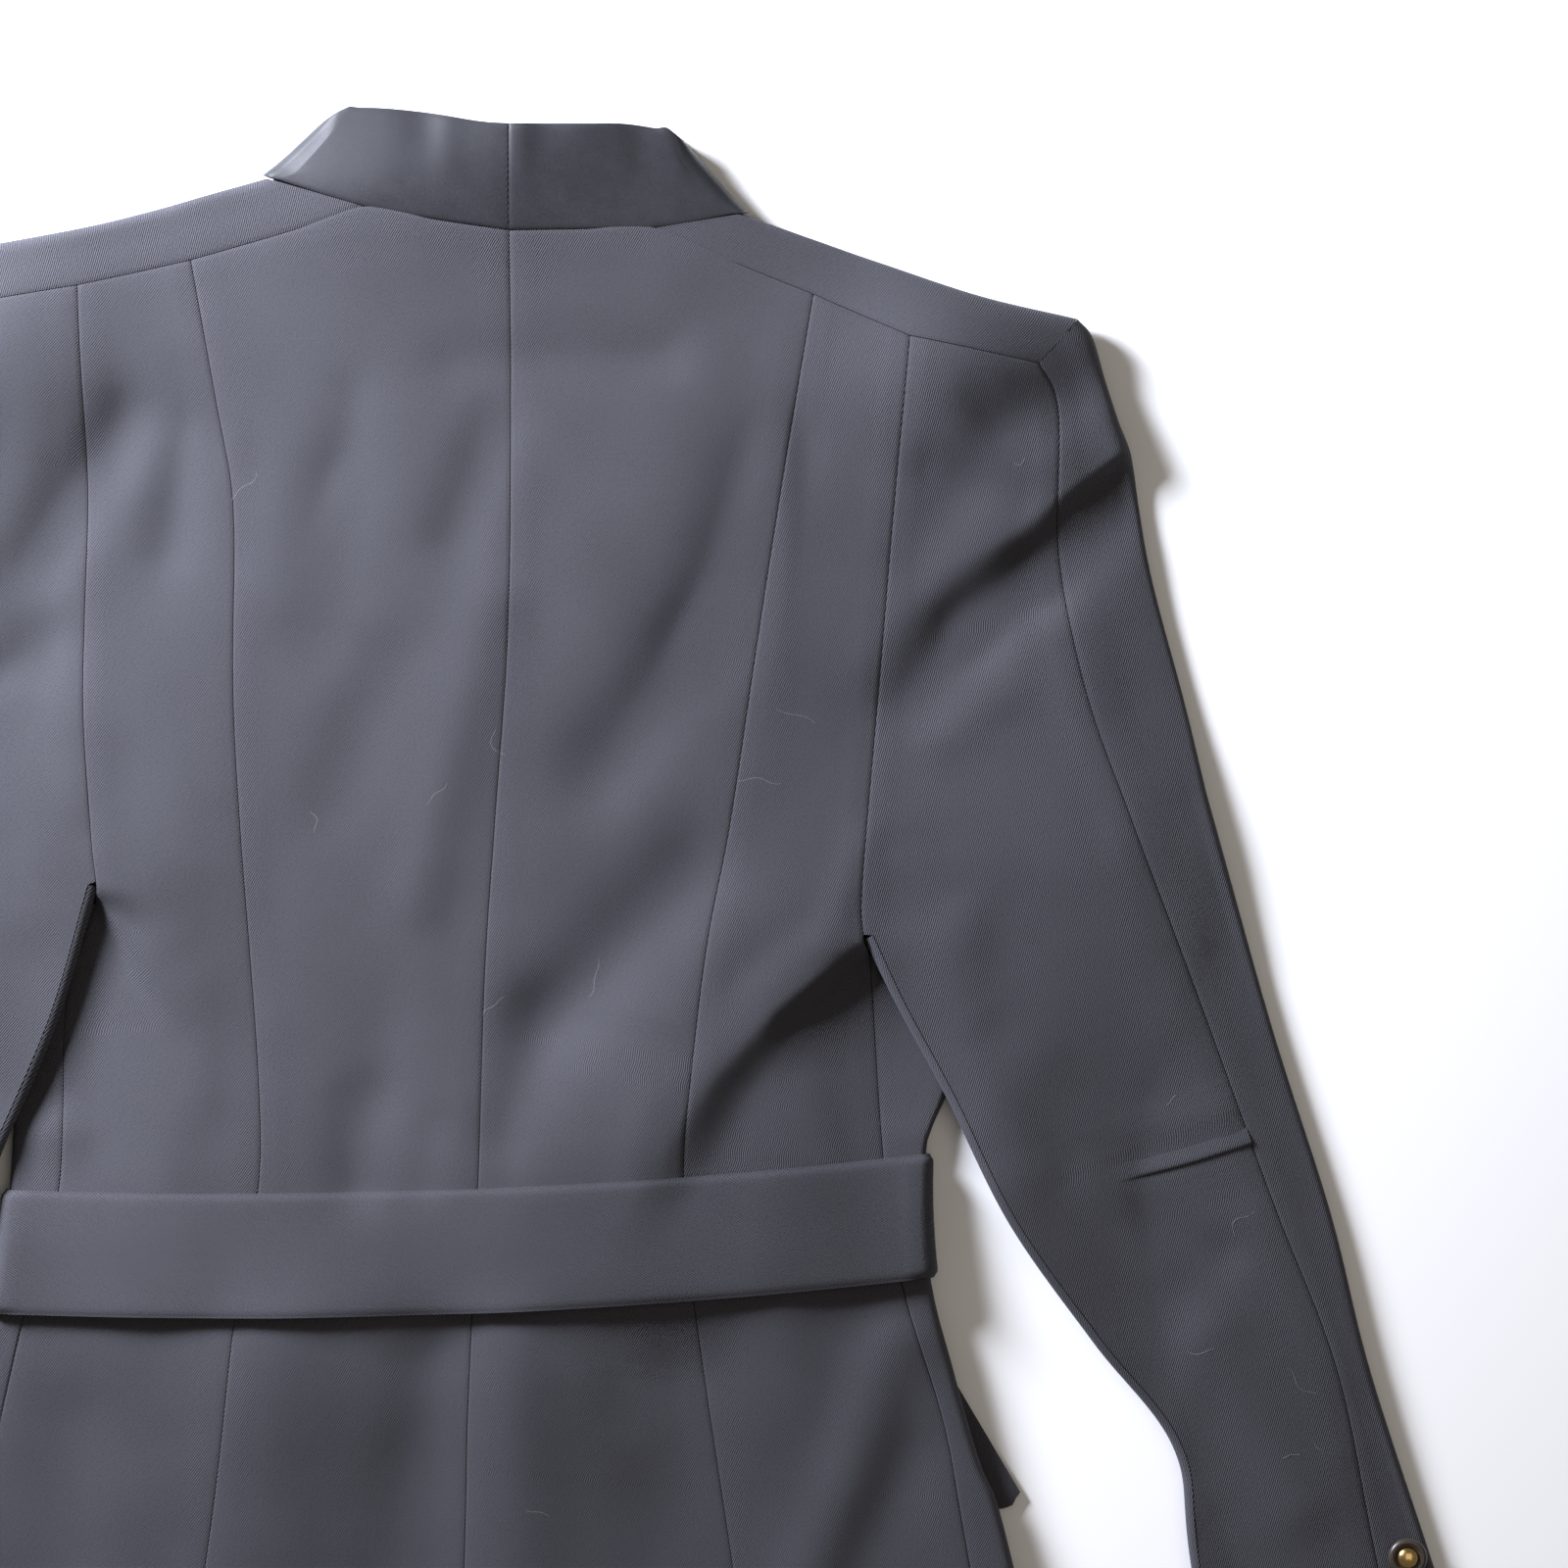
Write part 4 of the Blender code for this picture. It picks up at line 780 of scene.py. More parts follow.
def hemmed(line):
    """Tilts the lower end of a line as the hem lies: a little higher on the right."""
    line = line.copy()
    share = np.where(line[..., 1] < HEM_BEND_Y, (line[..., 1] - HEM_BEND_Y) / (HEM_Y - HEM_BEND_Y), 0)
    line[..., 1] += share * HEM_SLOPE * line[..., 0]
    return line


def down_line(points, top, shares):
    """A seam that runs down to the hem: its x from the table, at even shares of the way down."""
    y = top + (HEM_Y - top) * shares
    return hemmed(np.column_stack([x_at(points, y), y]))


def joined_x(upper, lower, y):
    """The x at height y of one line that is made of two seams, the upper and then the lower one."""
    line = np.vstack([dense(upper)[0], dense(lower)[0]])
    return np.interp(-y, -line[:, 1], line[:, 0])


def top_panel(name, start, end, first, lengths, height, grain, finish, step=SHELL_STEP, seam_end=None):
    """A panel of the upper layer: its height field, creases and rolled seams, one wall thick. The
    start side's seam may end part of the way down, at seam_end."""
    flat, from_start, from_end, from_first = panel(start, end, first, lengths, step)
    flat = pulled(flat, ("first", "start", "end"))
    x, y = flat[..., 0], flat[..., 1]
    rise = creases(x, y) + seam_roll(from_first) + seam_roll(from_start) + seam_roll(from_end)
    if seam_end is not None:
        rise = rise - seam_roll(from_start) * smooth(seam_end - 6, seam_end, lengths)[:, None]
    rise = rise + edge_round(from_first[-1:] - from_first, 0.5, 1.6)
    face = height(x, y)
    outer = np.dstack([flat, face + rise])
    inner = np.dstack([flat, face + np.minimum(rise, 0.0) - WALL])
    return cloth_object(name, outer, inner, grain, finish)


def build_back(side, finish):
    """The centre back and the side back, from the neck and yoke seams to the hem."""
    table, sign = SIDES[side]
    lengths = spaced(BODY_LENGTH)
    shares = lengths / lengths[-1]
    centre = down_line(CENTRE_BACK, 0.0, shares)
    princess = down_line(table["princess"], table["princess"][0][1], shares)
    neck_and_yoke = table["neck"] + table["yoke"][1:3]
    centre_piece = top_panel("centre_back_" + side + "_cloth", centre, princess, neck_and_yoke, lengths,
                             body_top, 2.0, finish)
    top = table["armhole"][0][1]
    y = top + (HEM_Y - top) * shares
    outside = hemmed(np.column_stack([joined_x(table["armhole"], table["side"], y), y]))
    side_piece = top_panel("side_back_" + side + "_cloth", princess, outside, table["yoke"][2:4], lengths,
                           body_top, 2.0 + 6.0 * sign, finish)
    return [(centre_piece, "centre_back_" + side), (side_piece, "side_back_" + side)]


def joined_faces(parts):
    """Joins runs of columns, dropping the shared column of each later run."""
    kept = [parts[0]] + [part[:, 1:] for part in parts[1:]]
    return np.concatenate(kept, axis=1)


def flat_run(start, end, step, height, direction, rise=0.0):
    """Columns between two lines. A run of the upper face (direction 1) starts at a rolled seam and
    takes a share of the creases, rise; a run of the lower face (-1) is plain."""
    upper = direction > 0
    across = float(np.median(np.linalg.norm(end - start, axis=1)))
    places = spaced(across, step, first=upper, last=False)
    flat = between(start, end, places / across)
    x, y = flat[..., 0], flat[..., 1]
    face = height(x, y)
    if upper:
        face = face + (rise * creases(x, y) + seam_roll(places)[None, :])
    return np.dstack([flat, face]), np.dstack([flat, face - direction * WALL])


def build_side_panel(side, finish):
    """The side panel: from the side seam over the body's edge to the front's side seam."""
    table, sign = SIDES[side]
    lengths = spaced(SIDE_LENGTH)
    shares = lengths / lengths[-1]
    top = table["side"][0][1]
    seam, edge, front_seam = (down_line(table[line], top, shares) for line in ("side", "edge", "front_side"))
    inward = np.tile((-float(sign), 0.0), (len(shares), 1))
    arc_out, arc_in, centre = fold_between(edge, inward, 3.0, body_top, under)
    nudge = np.array([sign * SEAM_GAP / 2, 0.0])
    upper = flat_run(seam + nudge, centre, SHELL_STEP, body_top, 1)
    lower = flat_run(centre, front_seam + nudge, SHELL_STEP, under, -1)
    outer = joined_faces([upper[0], arc_out, lower[0]])
    inner = joined_faces([upper[1], arc_in, lower[1]])
    piece = cloth_object("side_panel_" + side + "_cloth", outer, inner, 4.0 * sign, finish)
    return [(piece, "side_panel_" + side)]


def turned_at(way, end_way, share):
    """Directions that turn into another one where the share, between 0 and 1, is high."""
    return unit(way * (1 - share[:, None]) + end_way * share[:, None])


def shoulder_lines(side):
    """The shoulder fold's points, the directions into the cloth, and the shoulder seam under it."""
    table, sign = SIDES[side]
    edge = curve(table["shoulder"], SHOULDER_STEPS)
    shares = np.linspace(0, 1, SHOULDER_STEPS + 1)
    arm_way = unit(np.array(table["yoke"][-1], float) - edge[-1])
    inward = turned_at(normals(edge, -sign), arm_way, smooth(0.8, 1.0, shares))
    guess = edge + inward * 4.0
    top = body_top(guess[:, 0], guess[:, 1])
    low = yoke_under(guess[:, 0], guess[:, 1])
    far = edge + inward * ((top - low) / 2 + 17.0)[:, None]
    neck_way = unit(np.array(table["neck"][-1], float) - edge[0])
    return edge, turned_at(inward, neck_way, smooth(0.12, 0.0, shares)), top, low, far


def yoke_rows(table):
    """Points of the yoke seam that face the shoulder's points, one run for each piece it joins."""
    yoke = table["yoke"]
    runs = [sample(points, np.linspace(0, 1, count))
            for points, count in ((yoke[:3], 16), (yoke[2:4], 16), (yoke[3:], 31))]
    return np.vstack([runs[0], runs[1][1:], runs[2][1:]])


def build_yoke(side, finish):
    """The shoulder piece: from the yoke seam over the shoulder's fold to the shoulder seam."""
    table, sign = SIDES[side]
    edge, inward, top, low, far = shoulder_lines(side)
    arc_out, arc_in, centre = fold_arc(edge, inward, top, low, WALL)
    upper = flat_run(yoke_rows(table), centre, SHELL_STEP, body_top, 1, rise=0.5)
    lower = flat_run(centre, far, SHELL_STEP, yoke_under, -1)
    grids = []
    for parts in ([upper[0], arc_out, lower[0]], [upper[1], arc_in, lower[1]]):
        grid = pulled(joined_faces(parts), ("start", "end", "first"))
        grids.append(pulled(grid, ("last",), HIDDEN_GAP))
    piece = cloth_object("yoke_" + side + "_cloth", *grids, -14.0 * sign + 3.0, finish)
    return [(piece, "yoke_" + side)]


def sleeve_shares():
    """Shares of the way down a sleeve's head and down the arm below it, for its matching rows."""
    head = spaced(CAP_LENGTH, CAP_LENGTH / CAP_ROWS, last=False) / CAP_LENGTH
    return head, np.linspace(0, 1, ARM_ROWS + 1)[1:]


def sleeve_line(table, name):
    """A line that runs the whole way down a sleeve, along its head and then along the arm."""
    head, arm = sleeve_shares()
    return np.vstack([sample(table[name], head), sample(table[name + "_low"], arm)])


def sleeve_folds(side):
    """The outer and the inner fold of a sleeve: their arcs and the lines where the flat cloth starts."""
    table, sign = SIDES[side]
    outer = sleeve_line(table, "outer")
    shoulder_in = unit(np.array(table["yoke"][-1], float) - np.array(table["shoulder"][-1], float))
    travelled = np.concatenate([[0], np.cumsum(np.linalg.norm(np.diff(outer, axis=0), axis=1))])
    outer_in = turned_at(normals(outer, -sign), shoulder_in, smooth(60, 0, travelled))
    fold = sample(table["fold"], np.concatenate([[0.0], sleeve_shares()[1]]))
    return (fold_between(outer, outer_in, 4.0, sleeve_top, sleeve_low),
            fold_between(fold, normals(fold, sign), 3.0, sleeve_top, sleeve_low))


def build_sleeve(side, finish):
    """The under sleeve, which is the visible back of the arm, and the top sleeve round both folds."""
    table = SIDES[side][0]
    head, arm = sleeve_shares()
    elbow = sleeve_line(table, "elbow")
    armhole = sample(table["armhole"], head)
    outer_arc, inner_arc = sleeve_folds(side)
    start = np.vstack([armhole[:-1], inner_arc[2]])
    lengths = np.concatenate([head * CAP_LENGTH, CAP_LENGTH + arm * ARM_LENGTH])
    grain = 15.0 if side == "right" else -8.0
    under_piece = top_panel("under_sleeve_" + side + "_cloth", start, elbow, table["yoke"][3:], lengths,
                            sleeve_top, grain, finish, SLEEVE_STEP, CAP_LENGTH + 1.0)

    upper = flat_run(elbow, outer_arc[2], SLEEVE_STEP, sleeve_top, 1, rise=1.0)
    front_hole = curve([tuple(shoulder_lines(side)[4][-1])] + table["front_armhole"][1:], 80)
    front_hole = sample([tuple(p) for p in front_hole[::8]], head)
    far = np.vstack([front_hole[:-1], inner_arc[2]])
    lower = flat_run(outer_arc[2], far, COARSE_STEP, sleeve_low, -1)
    # Along the head the piece ends at the front armhole; only below it does the inner fold go on
    last = len(armhole) - 1
    grids = []
    for face in (0, 1):
        turned = np.zeros((len(elbow), inner_arc[face].shape[1], 3))
        turned[last:] = inner_arc[face][:, ::-1]
        grid = np.concatenate([upper[face][:, :-1], outer_arc[face], lower[face][:, 1:-1], turned], axis=1)
        seam = grid.shape[1] - turned.shape[1]
        grid[:last, seam] = lower[face][:last, -1]
        grids.append(pulled(pulled(grid, ("start", "end")), ("first",), HIDDEN_GAP))
    used = np.ones((len(elbow) - 1, grids[0].shape[1] - 1), bool)
    used[:last, seam:] = False
    top_piece = cloth_object("top_sleeve_" + side + "_cloth", *grids, grain, finish, used)
    return [(under_piece, "under_sleeve_" + side), (top_piece, "top_sleeve_" + side)]


def build_front(side, finish):
    """A front on the underside: from the shoulder seam to the hem and from its edge to the side."""
    table, sign = SIDES[side]
    far = shoulder_lines(side)[4]
    lengths = np.linspace(0, FRONT_LENGTH, 120)
    shares = lengths / lengths[-1]
    y = far[-1][1] + (HEM_Y - far[-1][1]) * shares
    side_x = joined_x([tuple(far[-1])] + table["front_armhole"][1:], table["front_side"], y)
    outside = hemmed(np.column_stack([side_x, y]))
    y = far[0][1] + (HEM_Y - far[0][1]) * shares
    free = np.column_stack([front_edge_x(y, sign), y])
    free[0] = far[0]
    flat = between(hemmed(free), outside, np.linspace(0, 1, SHOULDER_STEPS + 1))
    flat = pulled(pull_first(flat, far, shares), ("first", "end"))
    height = front_low(flat[..., 0], flat[..., 1], sign)
    outer = np.dstack([flat, height])
    inner = np.dstack([flat, height + WALL])
    piece = cloth_object("front_" + side + "_cloth", outer, inner, 0.0, finish)
    return [(piece, "front_" + side)]


def collar_waves(x, y):
    """Soft waves across the collar's band, strongest at its free edge."""
    height = np.zeros(np.shape(x))
    for place, width, size in COLLAR_WAVES:
        height = height + size * np.exp(-(((x - place) / width) ** 2))
    return height * smooth(8, 40, y)


def build_collar(side, finish):
    """Half the collar: its band above the neck seam, and the run under its slanted fold. At the
    fold's ends the way into the cloth turns along the neck seam and along the top edge, so the
    band's last row lies on both."""
    table, sign = SIDES[side]
    top_line, fold_line = COLLAR_EDGES[side]
    shares = spaced(NECK_LENGTH, last=False) / NECK_LENGTH
    neck = sample(table["neck"] + fold_line[:1], shares)
    top_edge = sample(top_line, shares)
    across = spaced(COLLAR_FOLD_LENGTH) / COLLAR_FOLD_LENGTH
    fold = sample(fold_line + top_line[-1:], across)
    inward = normals(fold, sign)
    low_way = unit(np.array(table["neck"][-1], float) - neck[-1])
    high_way = unit(top_edge[-2] - top_edge[-1])
    low_blend = smooth(0.35, 0.0, across)[:, None]
    high_blend = smooth(0.65, 1.0, across)[:, None]
    inward = unit(inward * (1 - low_blend - high_blend) + low_way * low_blend + high_way * high_blend)
    guess = fold + inward * 3.0
    high_face = body_top(guess[:, 0], guess[:, 1])
    low_face = LAPEL_LOW + 2.9 * smooth(0.25, 0.0, across)
    arc_out, arc_in, centre = fold_arc(fold, inward, high_face, low_face, COLLAR_WALL)
    band = between(neck, top_edge, across)
    near_end = smooth(0.80, 1.0, shares)[:, None, None]
    band = band + near_end * (centre[None] - band[-1:])
    waves = collar_waves(band[..., 0], band[..., 1]) * (1 - near_end[..., 0])
    face = body_top(band[..., 0], band[..., 1]) + waves
    away_neck = across[None, :] * BAND_HEIGHT
    away_seam = shares[:, None] * NECK_LENGTH
    face = face + seam_roll(away_neck) + CENTRE_ROLL * seam_roll(away_seam)
    face = face + edge_round(BAND_HEIGHT - away_neck, 0.5, 1.2)
    steps = np.linspace(0, 1, 9)[:, None, None]
    lower = centre[None] + steps * np.array([-sign * 4.0, -22.0])
    lower = np.dstack([lower, np.broadcast_to(low_face, lower.shape[:2])])
    grids = []
    for wall, arc, lift in ((0.0, arc_out, 0.0), (COLLAR_WALL, arc_in, WALL)):
        upper = np.dstack([band, face - wall])
        grid = np.concatenate([upper[:-1], arc.transpose(1, 0, 2), lower[1:] + (0.0, 0.0, lift)])
        grid[:, 0, 1] += SEAM_GAP
        grid[0, :, 0] += sign * 0.03
        grids.append(grid)
    piece = cloth_object("collar_" + side + "_satin", *grids, 0.0, finish)
    return [(piece, "collar_" + side)]


def build_lapel(side, finish):
    """A lapel's satin facing under the front's neckline: its width is a sine over the way down that
    shrinks towards the break."""
    sign = SIDES[side][1]
    top_y = -38.0
    end_y = BREAK_Y + 12 if sign > 0 else -112.0
    y = np.linspace(top_y, end_y, 60)
    share = (top_y - y) / (top_y - BREAK_Y)
    width = 18 + 48 * np.sin(np.pi * share**0.85) * (1 - 0.7 * share)
    free = front_edge_x(y, sign) + sign * 3.0
    columns = [np.column_stack([free + sign * width * part, y + 4 * part]) for part in np.linspace(1, 0, 16)]
    flat = np.stack(columns, axis=1)
    low = np.full(flat.shape[:2], LAPEL_LOW)
    outer = np.dstack([flat, low])
    inner = np.dstack([flat, low + WALL])
    piece = cloth_object("lapel_" + side + "_satin", outer, inner, 0.0, finish)
    return [(piece, "lapel_" + side)]


def build_flap(side, finish):
    """A pocket flap: four corners with a bowed lower edge and rounded, pressed sides."""
    table, sign = SIDES[side]
    inner_top, outer_top, outer_low, inner_low = [np.array(p, float) for p in table["flap"]]
    share = np.linspace(0, 1, 48)[:, None]
    upper = inner_top * (1 - share) + outer_top * share
    lower = inner_low * (1 - share) + outer_low * share
    lower = lower + np.sin(np.pi * share) * np.array([0, -3.0])
    round_off = 5.0 * smooth(0.93, 1.0, share) ** 2
    lower = lower + unit(upper - lower) * round_off
    across = np.linspace(0, 1, 20)
    flat = between(upper, lower, across)
    away = np.minimum((1 - across[None]) * FLAP_SIZE[1], (1 - share) * FLAP_SIZE[0])
    low = np.full(flat.shape[:2], UNDER_LIFT - WALL - 0.5)
    soft = -edge_round(away, 0.45, 1.2)
    outer = np.dstack([flat, low + soft])
    inner = np.dstack([flat, low + WALL - soft])
    piece = cloth_object("pocket_flap_" + side + "_cloth", outer, inner, 12.0 * sign, finish)
    return [(piece, "pocket_flap_" + side)]


def belt_y(level, x):
    """The y of a line along the belt: a straight climb to the right plus a shallow parabola."""
    return level + 0.037 * x + 2.5 + 5.5 * ((x + 20) / 170) ** 2


def belt_under(level, rise, start, end):
    """A run of the belt under the fronts."""
    x = np.linspace(start, end, 50)
    return np.column_stack([x, belt_y(level, x), under(x, level) - rise])


def belt_path(level, rise, less):
    """One line round the waist at a height over the cloth: under the right front, round the right
    edge, over the back, round the left edge and back under the left front."""
    right_x = float(x_at(RIGHT["edge"], belt_y(level, 155.0)))
    left_x = float(x_at(LEFT["edge"], belt_y(level, -186.0)))
    x = np.linspace(right_x - 8, left_x + 8, 132)
    y = belt_y(level, x)
    return np.vstack([belt_under(level, rise, 0.2, right_x - 7),
                      belt_turn(right_x, belt_y(level, right_x), 1, rise, less),
                      np.column_stack([x, y, body_top(x, y) + rise]),
                      belt_turn(left_x, belt_y(level, left_x), -1, rise, less)[::-1],
                      belt_under(level, rise, left_x + 7, -0.2)])


def belt_turn(x, y, sign, rise, less, steps=14):
    """The belt's turn round one edge of the waist, from the lower face to the upper one: an arc whose
    radius is half the body's height there plus the belt's own."""
    low = float(under(x - 3 * sign, y))
    top = float(body_top(x - 3 * sign, y))
    radius = (top - low) / 2
    angle = np.radians(np.linspace(-80, 80, steps))
    size = radius + rise + 0.4 - 1.6 * less
    return np.column_stack([x - sign * radius + sign * size * np.cos(angle), np.full(steps, y),
                            (top + low) / 2 + size * np.sin(angle)])


def build_belt(finish):
    """The belt: a flat tube of cloth, thin and rounded at its pressed edges, crowned between, and
    standing a little higher along its lower edge."""
    places = spaced(BELT_WIDTH + 1.0, BELT_STEP)
    levels = BELT_TOP + 1.0 - places
    edge_away = np.minimum(places, places[-1] - places)
    thin = 0.62 * np.exp(-((edge_away / 1.5) ** 2))
    outer = np.stack([belt_path(level, BELT_WALL + CROSSING_GAP - less, less)
                      for level, less in zip(levels, thin)], axis=1)
    inner = np.stack([belt_path(level, CROSSING_GAP + 0.4 * less, less)
                      for level, less in zip(levels, thin)], axis=1)
    on_back = smooth(5.0, 11.0, outer[..., 2])
    x, y = outer[..., 0], outer[..., 1]
    from_top = y - belt_y(BELT_TOP, x)
    waves = 0.30 * np.sin(x / 15.0 + 0.8 * np.sin(x / 27.0)) * np.exp(-((from_top / 11) ** 2))
    waves = waves + 0.26 * np.sin(x / 11.0 + 2.0) * np.exp(-(((from_top + BELT_WIDTH) / 9) ** 2))
    tilt = 1.7 * (places / places[-1])[None, :]
    outer[..., 2] += on_back * (waves + tilt)
    inner[..., 2] += on_back * tilt
    piece = cloth_object("belt_cloth", outer, inner, 88.0, finish)
    return [(piece, "belt")]


def build_dart(finish):
    """The elbow dart: a narrow tuck that stands highest along its lower side and runs out at its tip."""
    shares = np.linspace(0, 1, 70)
    line = sample(ELBOW_DART, shares)
    square = normals(line, 1)
    places = np.array([0.0, 0.5, 1.4, 2.8, 4.6, 6.4])
    flat = line[:, None] + square[:, None] * places[None, :, None]
    cloth = sleeve_top(flat[..., 0], flat[..., 1]) + creases(flat[..., 0], flat[..., 1])
    tip = smooth(0.0, 0.28, shares)[:, None]
    step = np.array([0.35, 0.72, 0.78, 0.55, 0.22, -0.1])[None, :] * tip
    outer = np.dstack([flat, cloth + step + 0.05])
    inner = np.dstack([flat, cloth - 0.5])
    return cloth_object("elbow_dart_cloth", outer, inner, 15.0, finish)


def ring_quads(rings, sides):
    """The quads between rings of points, each ring closed on itself."""
    index = np.arange(rings * sides).reshape(rings, sides)
    after = np.roll(index, -1, axis=1)
    return np.stack([index[:-1], index[1:], after[1:], after[:-1]], axis=-1).reshape(-1, 4)


def turned_piece(name, place, profile, finish, sides=64):
    """A turned piece: a profile of radius and height, carried round a vertical axis."""
    profile = np.array(profile, float)
    angle = np.linspace(0, 2 * np.pi, sides, endpoint=False)
    ring = np.stack([place[0] + profile[:, :1] * np.cos(angle), place[1] + profile[:, :1] * np.sin(angle),
                     np.broadcast_to(profile[:, 1:2], (len(profile), sides))], axis=-1)
    quads = ring_quads(len(profile), sides)[:, [0, 3, 2, 1]]
    points = ring.reshape(-1, 3)
    if signed_volume(points, quads) < 0:
        quads = quads[:, ::-1]
    return mesh_object(name, in_frame(points), quads, finish)


def cuff_button_place(side, share, rows=11):
    """A cuff button's centre: a fixed way in from the outer fold, at a share of the lower sleeve."""
    table = SIDES[side][0]
    edge_point, seam_point = [
        np.array([np.interp(share * rows, np.arange(rows + 1), line[:, axis]) for axis in (0, 1)])
        for line in (curve(table["outer_low"], rows), curve(table["elbow_low"], rows))]
    return edge_point + unit(seam_point - edge_point) * CUFF_BUTTON_IN


def button_pieces(name, place, seat, rim, dome, finishes):
    """A button's rim and dome, turned from their profiles at the height of its seat."""
    made = [turned_piece(name + part, place, [(out, seat + up) for out, up in profile], finish)
            for part, profile, finish in zip(("_rim", "_dome"), (rim, dome), finishes)]
    return [(made[0], name), (made[1], None)]


def build_cuff_button(side, number, finishes):
    """A sleeve button: a dark turned rim round a low gold dome."""
    x, y = cuff_button_place(side, CUFF_BUTTONS[number - 1])
    angle = np.linspace(0, 2 * np.pi, 12)
    r = BUTTON_SMALL
    seat = float(np.max(sleeve_top(x + r * np.cos(angle), y + r * np.sin(angle)))) + 0.3
    rim = [(0.01, 0), (0.86 * r, 0), (0.97 * r, 0.5), (r, 1.3), (0.96 * r, 2.2), (0.88 * r, 2.9),
           (0.78 * r, 3.1), (0.68 * r, 2.9), (0.6 * r, 2.3), (0.56 * r, 2.0), (0.01, 2.0)]
    dome = [(0.01, 1.9), (0.5 * r, 1.9), (0.535 * r, 2.3), (0.5 * r, 2.9), (0.4 * r, 3.6), (0.24 * r, 4.1),
            (0.1 * r, 4.3), (0.01, 4.35)]
    return button_pieces("cuff_button_%s_%d" % (side, number), (x, y), seat, rim, dome, finishes)


def build_front_button(side, number, finishes):
    """A front button, face down: a wide dark rim and a gold middle that lies flush with it."""
    y = FRONT_BUTTON_ROWS[number - 1]
    x = float(centre_x(y)) + SIDES[side][1] * FRONT_BUTTON_SIDE
    r = BUTTON_LARGE
    rim = [(0.01, 3.0), (0.88 * r, 3.0), (r, 2.1), (r, 0.7), (0.93 * r, 0.1), (0.84 * r, 0.0),
           (0.72 * r, 0.1), (0.62 * r, 0.6), (0.58 * r, 0.9), (0.01, 0.9)]
    dome = [(0.01, 1.0), (0.54 * r, 1.0), (0.56 * r, 0.6), (0.48 * r, 0.25), (0.3 * r, 0.08), (0.01, 0.02)]
    return button_pieces("front_button_%s_%d" % (side, number), (x, y), 0.0, rim, dome, finishes)


def tubes(name, lines, radius, finish, sides=5):
    """Thin tubes along lines of points, joined in one mesh; each ring stands square to its line's
    plan, and the radius falls off at both ends as a low power of a sine."""
    points = []
    faces = []
    base = 0
    angle = np.linspace(0, 2 * np.pi, sides, endpoint=False)
    for line in lines:
        across = np.column_stack([normals(line[:, :2], 1), np.zeros(len(line))])
        taper = np.sin(np.linspace(0.18, np.pi - 0.18, len(line)))[:, None, None] ** 0.4
        ring = line[:, None] + taper * radius * (across[:, None] * np.cos(angle)[None, :, None]
                                                 + np.array([0, 0, 1.0]) * np.sin(angle)[None, :, None])
        points.append(ring.reshape(-1, 3))
        faces.append(ring_quads(len(line), sides) + base)
        base += len(line) * sides
    return mesh_object(name, in_frame(np.vstack(points)), np.vstack(faces), finish)


def build_collar_stitches(finish):
    """A line of short stitches beside the collar's centre seam, each bowed up as half a sine."""
    lines = []
    away = 0.75
    for level in np.arange(2.5, 37.5, 2.3):
        y = np.linspace(level, level + 1.6, 6)
        x = np.full(6, -away)
        z = body_top(x, y) + collar_waves(x, y) + CENTRE_ROLL * seam_roll(np.full(6, away))
        lines.append(np.column_stack([x, y, z + 0.12 * np.sin(np.linspace(0, np.pi, 6))]))
    return tubes("collar_stitches", lines, STITCH_RADIUS, finish)


def build_lint(count, finish):
    """White lint: short curly fibres that lie on the cloth. Each heading is a line plus a slow sine,
    and its path is the running sum of the heading's cosines and sines."""
    chance = np.random.default_rng(41)
    centres = list(LINT_PLACES)
    while len(centres) < count:
        centres.append((chance.uniform(-165, 320), chance.uniform(-480, -20)))
    lines = []
    for x, y in centres:
        if cloth_height(np.array(x), np.array(y)) is None:
            continue
        size = chance.uniform(2.0, 7.0)
        step = np.linspace(0, 1, 26)
        bend = chance.uniform(-1.6, 1.6)
        heading = chance.uniform(0, 6.28) + bend * step + 0.5 * np.sin(step * chance.uniform(3, 8))
        path_x = x + size * np.cumsum(np.cos(heading)) / 10
        path_y = y + size * np.cumsum(np.sin(heading)) / 10
        z = cloth_height(path_x, path_y)
        if z is not None:
            lines.append(np.column_stack([path_x, path_y, z + 0.14]))
    return tubes("lint_fibres", lines, LINT_RADIUS, finish, sides=4)


def cloth_height(x, y):
    """The upper cloth's height where all the points lie on one layer, or None."""
    if np.all(x > x_at(RIGHT["armhole"], y) + 6):
        fold = x_at(RIGHT["fold"], np.minimum(y, -262))
        edge = np.interp(-y, [32, 208, 588], [210, 258, 372])
        good = np.all((x < edge - 10) & ((y > -255) | (x > fold + 8)))
        return sleeve_top(x, y) + creases(x, y) if good else None
    belt = np.any((y < BELT_ROWS[1]) & (y > BELT_ROWS[0]))
    good = np.all((x > -150) & (x < 120) & (y < -8)) and not belt
    return body_top(x, y) + creases(x, y) if good else None


def new_finish(name):
    """A new material with its node tree and its shader."""
    made = bpy.data.materials.new(name)
    made.use_nodes = True
    tree = made.node_tree
    return made, tree, tree.nodes["Principled BSDF"]


def fill(tree, node, sockets):
    """Gives each named socket its value, or links it to another node's output."""
    for key, value in sockets.items():
        if isinstance(value, bpy.types.NodeSocket):
            tree.links.new(value, node.inputs[key])
        else:
            node.inputs[key].default_value = value


def add(tree, kind, sockets, **settings):
    """Adds a node with its settings and sockets."""
    node = tree.nodes.new(kind)
    for key, value in settings.items():
        setattr(node, key, value)
    fill(tree, node, sockets)
    return node


